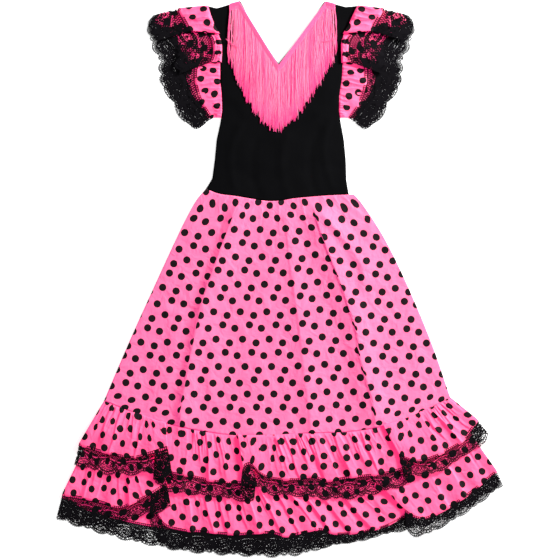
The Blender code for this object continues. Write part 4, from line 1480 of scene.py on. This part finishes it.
    def leaves(self) -> None:
        """Lay the solid leaves and the hearts of the flowers, repeat by repeat."""
        narrow = (self.repeat + self.wide_scallop) / 2
        wide = self.wide_scallop / 2
        # Place along the repeat, drop as a share of the width, half length, half width and turn of each
        motifs = (
            (wide, self.eye_place, 2.4, 1.5, 0), (narrow, 0.30, 4.4, 2.6, 0),
            (narrow - 5.5, 0.42, 3.4, 1.7, 0.7), (narrow + 5.5, 0.42, 3.4, 1.7, -0.7),
            (wide, 0.19, 3, 1.6, 0), (wide - 7.5, 0.24, 2.6, 1.3, -0.4),
            (wide + 7.5, 0.24, 2.6, 1.3, 0.4), (narrow, 0.50, 2, 2.4, 0),
        )
        for first in np.arange(-self.start, self.length(), self.repeat):
            for place, drop, long, short, turn in motifs:
                if long < first + place < self.length() - long:
                    self.laid.leaf((first + place, drop * self.width), long, short, turn)

    def on_strip(self, flat: ndarray) -> ndarray:
        """Lay flat lace on its strip.

        Args:
            flat: places on the flat lace, in mm.

        Returns:
            Their places on the lying lace, in mm.
        """
        runs = self.strip.runs
        start = at_runs(self.strip.hem(), runs, flat[:, 0])
        reach = at_runs(self.strip.edge(), runs, flat[:, 0]) - start
        share = (flat[:, 1] / self.width)[:, None]
        places = start + reach * share
        places[:, 2] += (self.ripple * np.sin(flat[:, 0] / 5.2 + 1.5 * np.sin(flat[:, 0] / 17)) * share[:, 0]
                         + 0.45 * smoothstep((HEM_UNDER_LACE + 3 - flat[:, 1]) / 3))
        places[:, 2] = places[:, 2].clip(0.05)
        return places

    def build(self) -> Object:
        """Make the lace.

        Returns:
            The lace.
        """
        for lay in (self.header, self.net, self.outlines, self.leaves):
            lay()
        flat, faces = self.laid.shapes()
        flat[:, 0] = np.clip(flat[:, 0], 0, self.length())
        flat[:, 1] = np.maximum(flat[:, 1], 0.0)
        return new_piece(self.name, "black_lace", self.finish, self.on_strip(flat), faces)


def tubes(lines: ndarray, thickness: float) -> tuple[ndarray, ndarray]:
    """Three-sided tubes along many lines at once, each thin at its end.

    Args:
        lines: points of each line, in mm.
        thickness: thickness of the yarn.

    Returns:
        Points and faces.
    """
    count, rings = lines.shape[:2]
    way = np.gradient(lines, axis=1)
    way /= np.linalg.norm(way, axis=2)[..., None]
    side = np.cross(way, np.array((0.0, 0.0, 1.0)))
    side /= np.linalg.norm(side, axis=2)[..., None]
    up = np.cross(side, way)
    taper = np.ones(rings)
    taper[-1] = 0.45
    reach = thickness / 2 * taper[None, :, None]
    turns = (math.pi / 2, math.pi * 7 / 6, math.pi * 11 / 6)
    points = np.stack([lines + reach * (side * math.cos(t) + up * math.sin(t)) for t in turns], axis=2)
    index = np.arange(count * rings * 3).reshape(count, rings, 3)
    after = np.roll(index, -1, axis=2)
    faces = np.stack((index[:, :-1], index[:, 1:], after[:, 1:], after[:, :-1]), axis=-1)
    return points.reshape(-1, 3), np.concatenate([faces[:, :, k].reshape(-1, 4) for k in range(3)])


class Strands(NamedTuple):
    """One layer of a fringe's strands.

    It has their number, the waves, middle tone, height over the jersey and share of the full thickness that
    they have, how much shorter the shortest ones are, and the seed of their chance numbers.
    """

    count: int
    curl: float
    tone: float
    height: float
    thickness: float
    short: float
    seed: int


@dataclass
class Fringe:
    """Cut fringe on its woven band, along one side of the V neck."""

    side: Side
    finish: Material
    layers: Sequence[Strands] = table(
        Strands, (340, 0.6, 0.48, 0.2, 1.0, 5.0, 11), (170, 1.5, 0.74, 1.3, 0.8, 16.0, 12))
    tassel_pitch: float = 1.6
    tassel_sway: float = 0.9
    own_sway: tuple[float, float] = (0.35, 1.1)
    lean: float = 2.2
    lean_reach: float = 20.0
    bow: float = 3.0
    bow_reach: float = 14.0
    rings: int = 12
    thickness: float = 1.15
    band_width: float = 7.5
    band_share: float = 0.45
    band_cords: int = 8
    band_steps: int = 110
    cord_thickness: float = 2.2
    cord_zigzag: float = 0.3
    loose_thickness: float = 0.9
    loose_lift: float = 2.6
    over_edge: float = 2.4
    over_middle: float = 2.1
    inset: float = 0.8
    jag: float = 3.0
    lift: float = 1.5
    parted: float = 9.0
    tip_shade: float = 0.35
    shade_spread: tuple[float, float] = (0.12, 0.3)

    def hanging(self, layer: Strands) -> tuple[ndarray, ndarray]:
        """Lines of one layer of strands, and a tone for each place on them.

        Args:
            layer: the layer.

        Returns:
            Points of each strand, and tones of each point.
        """
        chance = np.random.default_rng(layer.seed)
        count = layer.count
        root = FRINGE_ROOT[self.side]
        left = self.side is Side.LEFT
        first = root[0][0] + (self.inset if left else -self.over_middle)
        last = root[-1][0] + (self.over_middle if left else -self.inset)
        x = np.clip(np.linspace(first, last, count) + chance.uniform(-0.5, 0.5, count), first, last)
        tassel = ((x - first) / self.tassel_pitch).astype(int)
        sways, tones, ends = chance.normal(0, 1, (3, tassel.max() + 1))
        start = on_table(root, x) - self.band_share * self.band_width
        uneven = self.jag * ends[tassel] + layer.short * chance.random(count) ** 2
        end = on_table(FRINGE_TIPS[self.side], x) + uneven
        down = np.linspace(0, 1, self.rings)
        inward = np.abs(x - root[0 if left else -1][0])
        parted = inward < self.parted
        own = np.where(parted, *self.own_sway) * chance.normal(0, 1, count)
        sway = (self.tassel_sway * sways[tassel] + own)[:, None] * down ** 1.6
        turns = chance.uniform(2.0, 6.0, count)[:, None]
        phase = chance.uniform(0, 6.3, count)[:, None]
        wave = layer.curl * chance.normal(0, 1, count)[:, None]
        wave = wave * np.sin(down * math.pi * turns + phase) * down ** 0.4
        out = -1 if left else 1
        bow = out * self.bow * smoothstep(1 - inward / self.bow_reach)[:, None]
        bow = bow * np.sin(math.pi * 0.8 * down)
        lean = -out * self.lean * smoothstep(inward / self.lean_reach)[:, None] * np.sin(math.pi * down)
        across = x[:, None] + sway + wave + bow + lean
        up = start[:, None] + (end - start)[:, None] * down
        over = layer.height + chance.uniform(-0.2, 0.3, count)[:, None]
        high = bodice_height(across, up) + self.lift + over * np.sin(math.pi * np.clip(down + 0.12, 0, 1))
        of_tassel, of_strand = self.shade_spread
        tone = layer.tone + of_tassel * tones[tassel] + chance.normal(0, of_strand, count)
        kept = ~parted | (tassel % 2 == 0)
        return np.stack((across, up, high), axis=2)[kept], (tone[:, None] - self.tip_shade * down ** 7)[kept]

    def loose(self) -> ndarray:
        """One loose thread that lies across the others."""
        route = smooth_rows(LOOSE_THREAD[self.side], 6)
        return np.column_stack((route, bodice_height(*route.T) + self.lift + self.loose_lift))

    def band(self) -> ndarray:
        """Woven band along the neck edge: cords side by side, each with a slight zigzag.

        Returns:
            Points of each cord.
        """
        tip = np.array([(NECK_TIP_X + 0.1, NECK_TIP_Y - 6.0)])
        root = np.array(FRINGE_ROOT[self.side], float)
        line = np.concatenate((root, tip) if self.side is Side.LEFT else (tip, root))
        runs = run_lengths(line)
        x, y = at_runs(line, runs, np.linspace(0, runs[-1], self.band_steps)).T
        zigzag = self.cord_zigzag * np.where(np.arange(len(x)) % 2 == 0, 1, -1)
        cords = []
        last = self.band_cords - 1
        for k in range(self.band_cords):
            drop = k / last * (self.band_width + self.over_edge) - self.over_edge
            up = y - drop - zigzag * (0 < k < last)
            cords.append(np.stack((x, up, bodice_height(x, up) + self.lift + 0.4), axis=1))
        return np.array(cords)

    def build(self) -> Object:
        """Make the fringe with its band.

        Returns:
            The fringe.
        """
        hung = [self.hanging(layer) for layer in self.layers]
        parts = [tubes(lines, self.thickness * layer.thickness)
                 for (lines, _), layer in zip(hung, self.layers)]
        parts.append(tubes(self.band(), self.cord_thickness))
        parts.append(tubes(self.loose()[None], self.loose_thickness))
        firsts = np.cumsum([0] + [len(points) for points, _ in parts])
        every = np.concatenate([points for points, _ in parts])
        piece = new_piece(f"fringe_{self.side.value}", "pink_fringe", self.finish, every,
                          [faces + first for (_, faces), first in zip(parts, firsts)])
        tones = np.concatenate([tones.ravel() for _, tones in hung])
        values = np.concatenate((np.repeat(tones, 3), np.full(len(every) - 3 * len(tones), 0.5)))
        tone = piece.data.attributes.new("tone", "FLOAT", "POINT")
        tone.data.foreach_set("value", values.astype(np.float32))
        return piece


@dataclass
class Dress:
    """The whole dress, piece by piece; its ruffles take a darker copy of the cotton as painted shade, with a
    stronger painted glow.
    """

    cotton: Material = field(default_factory=lambda: PrintedCotton().make())
    # Darker ground colours are painted shade on the ruffles; the stronger painted glow keeps that shade
    # vivid.
    ruffle_print_painted_shade: Material = field(default_factory=lambda: PrintedCotton(
        "printed_ruffles_painted_shade", "#f96787", "#fb7391", (0.66, 0.0, 0.13)).make())
    jersey: Material = field(default_factory=lambda: KnittedJersey().make())
    lace: Material = field(default_factory=lambda: RaschelLace().make())
    yarn: Material = field(default_factory=lambda: FringeYarn().make())
    pieces: dict[str, Object] = field(default_factory=dict)

    def keep(self, piece: Object) -> Object:
        """Note a piece and report it.

        Args:
            piece: the piece.

        Returns:
            The same piece.
        """
        self.pieces[piece.name] = piece
        LOG.info("%s: %d faces", piece.name, len(piece.data.polygons))
        return piece

    def make_strip(self, name: str, strip: Strip,
                   first_cut: tuple[float, float], lace: dict, gathers: Gathers | None = None,
                   turns: Sequence[float] = ()) -> None:
        """Args:
            name: the ruffle's node.
            strip: how it lies.
            first_cut: place of its first corner on the printed cloth.
            lace: sizes of the lace that differ from the usual.
            gathers: its creases, if it shows any.
            turns: places where it is folded over itself.
        """
        cloth = self.keep(Ruffle(name, strip, self.ruffle_print_painted_shade, gathers, turns, first_cut).build())
        trim = self.keep(LaceTrim("lace_" + name.removeprefix("ruffle_"), strip, self.lace, **lace).build())

    def build_panels(self) -> None:
        """Make the bodice with its fringe, and the skirt."""
        bodice, skirt = Bodice(self.jersey), Skirt(self.cotton)
        front, back = (self.keep(p) for p in bodice.build())
        fringes = [self.keep(Fringe(side, self.yarn).build()) for side in Side]
        front, back = (self.keep(p) for p in skirt.build())

    def build_ruffles(self) -> None:
        """Make the two ruffles of the skirt."""
        seam = at_shares(UPPER_SEAM, np.linspace(0, 1, 200))
        under = seam_below(LOWER_SEAM, SEAM_GAP)
        self.make_strip(
            "ruffle_upper_back", Strip(UPPER_RUFFLE_BACK, seam_below(seam, BACK_SEAM_GAP), level(BACK_MID)),
            (0, 0),
            {"net_thread": 1.9, "mesh_thread": 1.7, "light_line": 1.2})
        self.make_strip(
            "ruffle_lower_back", Strip(LOWER_RUFFLE_BACK, under, tucked_height),
            (12, 9),
            {"start": 23.0, "net_thread": 2.0, "mesh_thread": 1.8, "light_line": 0.7})
        self.make_strip(
            "ruffle_lower_front", Strip(LOWER_RUFFLE, under, level(LOWER_RUFFLE_MID)),
            (5, 31),
            {"start": 12.0, "net_thread": 1.7, "light_line": 1.1},
            Gathers(LOWER_CREASES, seed=5), LOWER_TURNS)
        self.make_strip(
            "ruffle_upper_front", Strip(UPPER_RUFFLE, seam_below(seam, SEAM_GAP), upper_height),
            (21, 12), {"start": 5.0},
            Gathers(UPPER_CREASES, pitch=6.5, small_depth=0.85, hidden=0.8), UPPER_TURNS)

    def build_sleeves(self) -> None:
        """Make the two sleeves, each of a layer on top and a layer under it."""
        wide = {"width": 56.0, "start": 9.0, "net_pitch": 3.2, "net_thread": 2.55, "mesh_thread": 1.35,
                "light_line": 1.7, "rim": 6.0, "rim_thread": 2.0}
        under = {"width": 56.0, "start": 25.0, "net_thread": 2.1, "mesh_thread": 2.1, "light_line": 0.45,
                 "rim": 9.0, "rim_thread": 1.5}
        for side in Side:
            front, back = SLEEVE, SLEEVE_BACK
            if side is Side.RIGHT:
                front, back = mirrored(front), mirrored(back)
            name = f"sleeve_{side.value}"
            self.make_strip(f"{name}_back", Strip(back, armhole(side), level(BACK_MID)),
                            (8, 20), under)
            self.make_strip(f"{name}_front", Strip(front, armhole(side), level(FRONT_MID), step=0.8),
                            (0, 14), wide,
                            Gathers(SLEEVE_CREASES, pitch=6.0, small_depth=0.9, long_side=2.8, seed=9))


@dataclass
class Studio:
    """White table top, soft light with a clear side to it, and the camera straight above."""

    pixel: float = 1.6187
    frame_side: int = 560
    centre: tuple[float, float] = (1.6, -1.6)
    distance: float = 3.0
    sensor: float = 36.0
    far: float = 20.0
    table_half: float = 8.0
    sky: float = 0.32
    key_place: tuple[float, float, float] = (2.35, 1.5, 1.35)
    key_size: float = 0.6
    key_power: float = 222.0

    def camera(self) -> None:
        """Hang the camera straight above, with a long lens."""
        data = bpy.data.cameras.new("camera")
        data.sensor_width = self.sensor
        data.lens = self.sensor * self.distance / (self.frame_side * self.pixel * MM)
        data.clip_end = self.far
        camera = in_scene("camera", data)
        camera.location = (self.centre[0] * MM, self.centre[1] * MM, self.distance)
        bpy.context.scene.camera = camera

    def floor(self) -> None:
        """Lay the table top."""
        half = self.table_half
        mesh = bpy.data.meshes.new("floor")
        corners = [(-half, -half, 0), (half, -half, 0), (half, half, 0), (-half, half, 0)]
        mesh.from_pydata(corners, [], [(0, 1, 2, 3)])
        mesh.materials.append(OpalTable().make())
        in_scene("floor", mesh)

    def light(self) -> None:
        """Set the sky, and a soft lamp that faces the dress from one side."""
        world = bpy.data.worlds.new("studio")
        world.use_nodes = True
        tree = world.node_tree
        feed(tree, tree.nodes["Background"], {"Color": (1, 1, 1, 1), "Strength": self.sky})
        bpy.context.scene.world = world
        data = bpy.data.lights.new("key", "AREA")
        data.size = self.key_size
        data.energy = self.key_power
        lamp = in_scene("key", data)
        lamp.location = self.key_place
        track = lamp.constraints.new("TRACK_TO")
        track.target = in_scene("key_aim", None)
        track.track_axis = "TRACK_NEGATIVE_Z"
        track.up_axis = "UP_Y"
        bpy.context.scene.view_settings.view_transform = "Standard"


def main() -> None:
    """Build the camera, the studio and the dress, in order."""
    logging.basicConfig(level=logging.INFO, format="%(name)s: %(message)s")
    studio = Studio()
    studio.camera()
    studio.floor()
    studio.light()
    dress = Dress()
    dress.build_panels()
    dress.build_ruffles()
    dress.build_sleeves()
    faces = sum(len(p.data.polygons) for p in dress.pieces.values())
    LOG.info("pieces: %d, faces before thickness: %d", len(dress.pieces), faces)


if __name__ == "__main__":
    main()
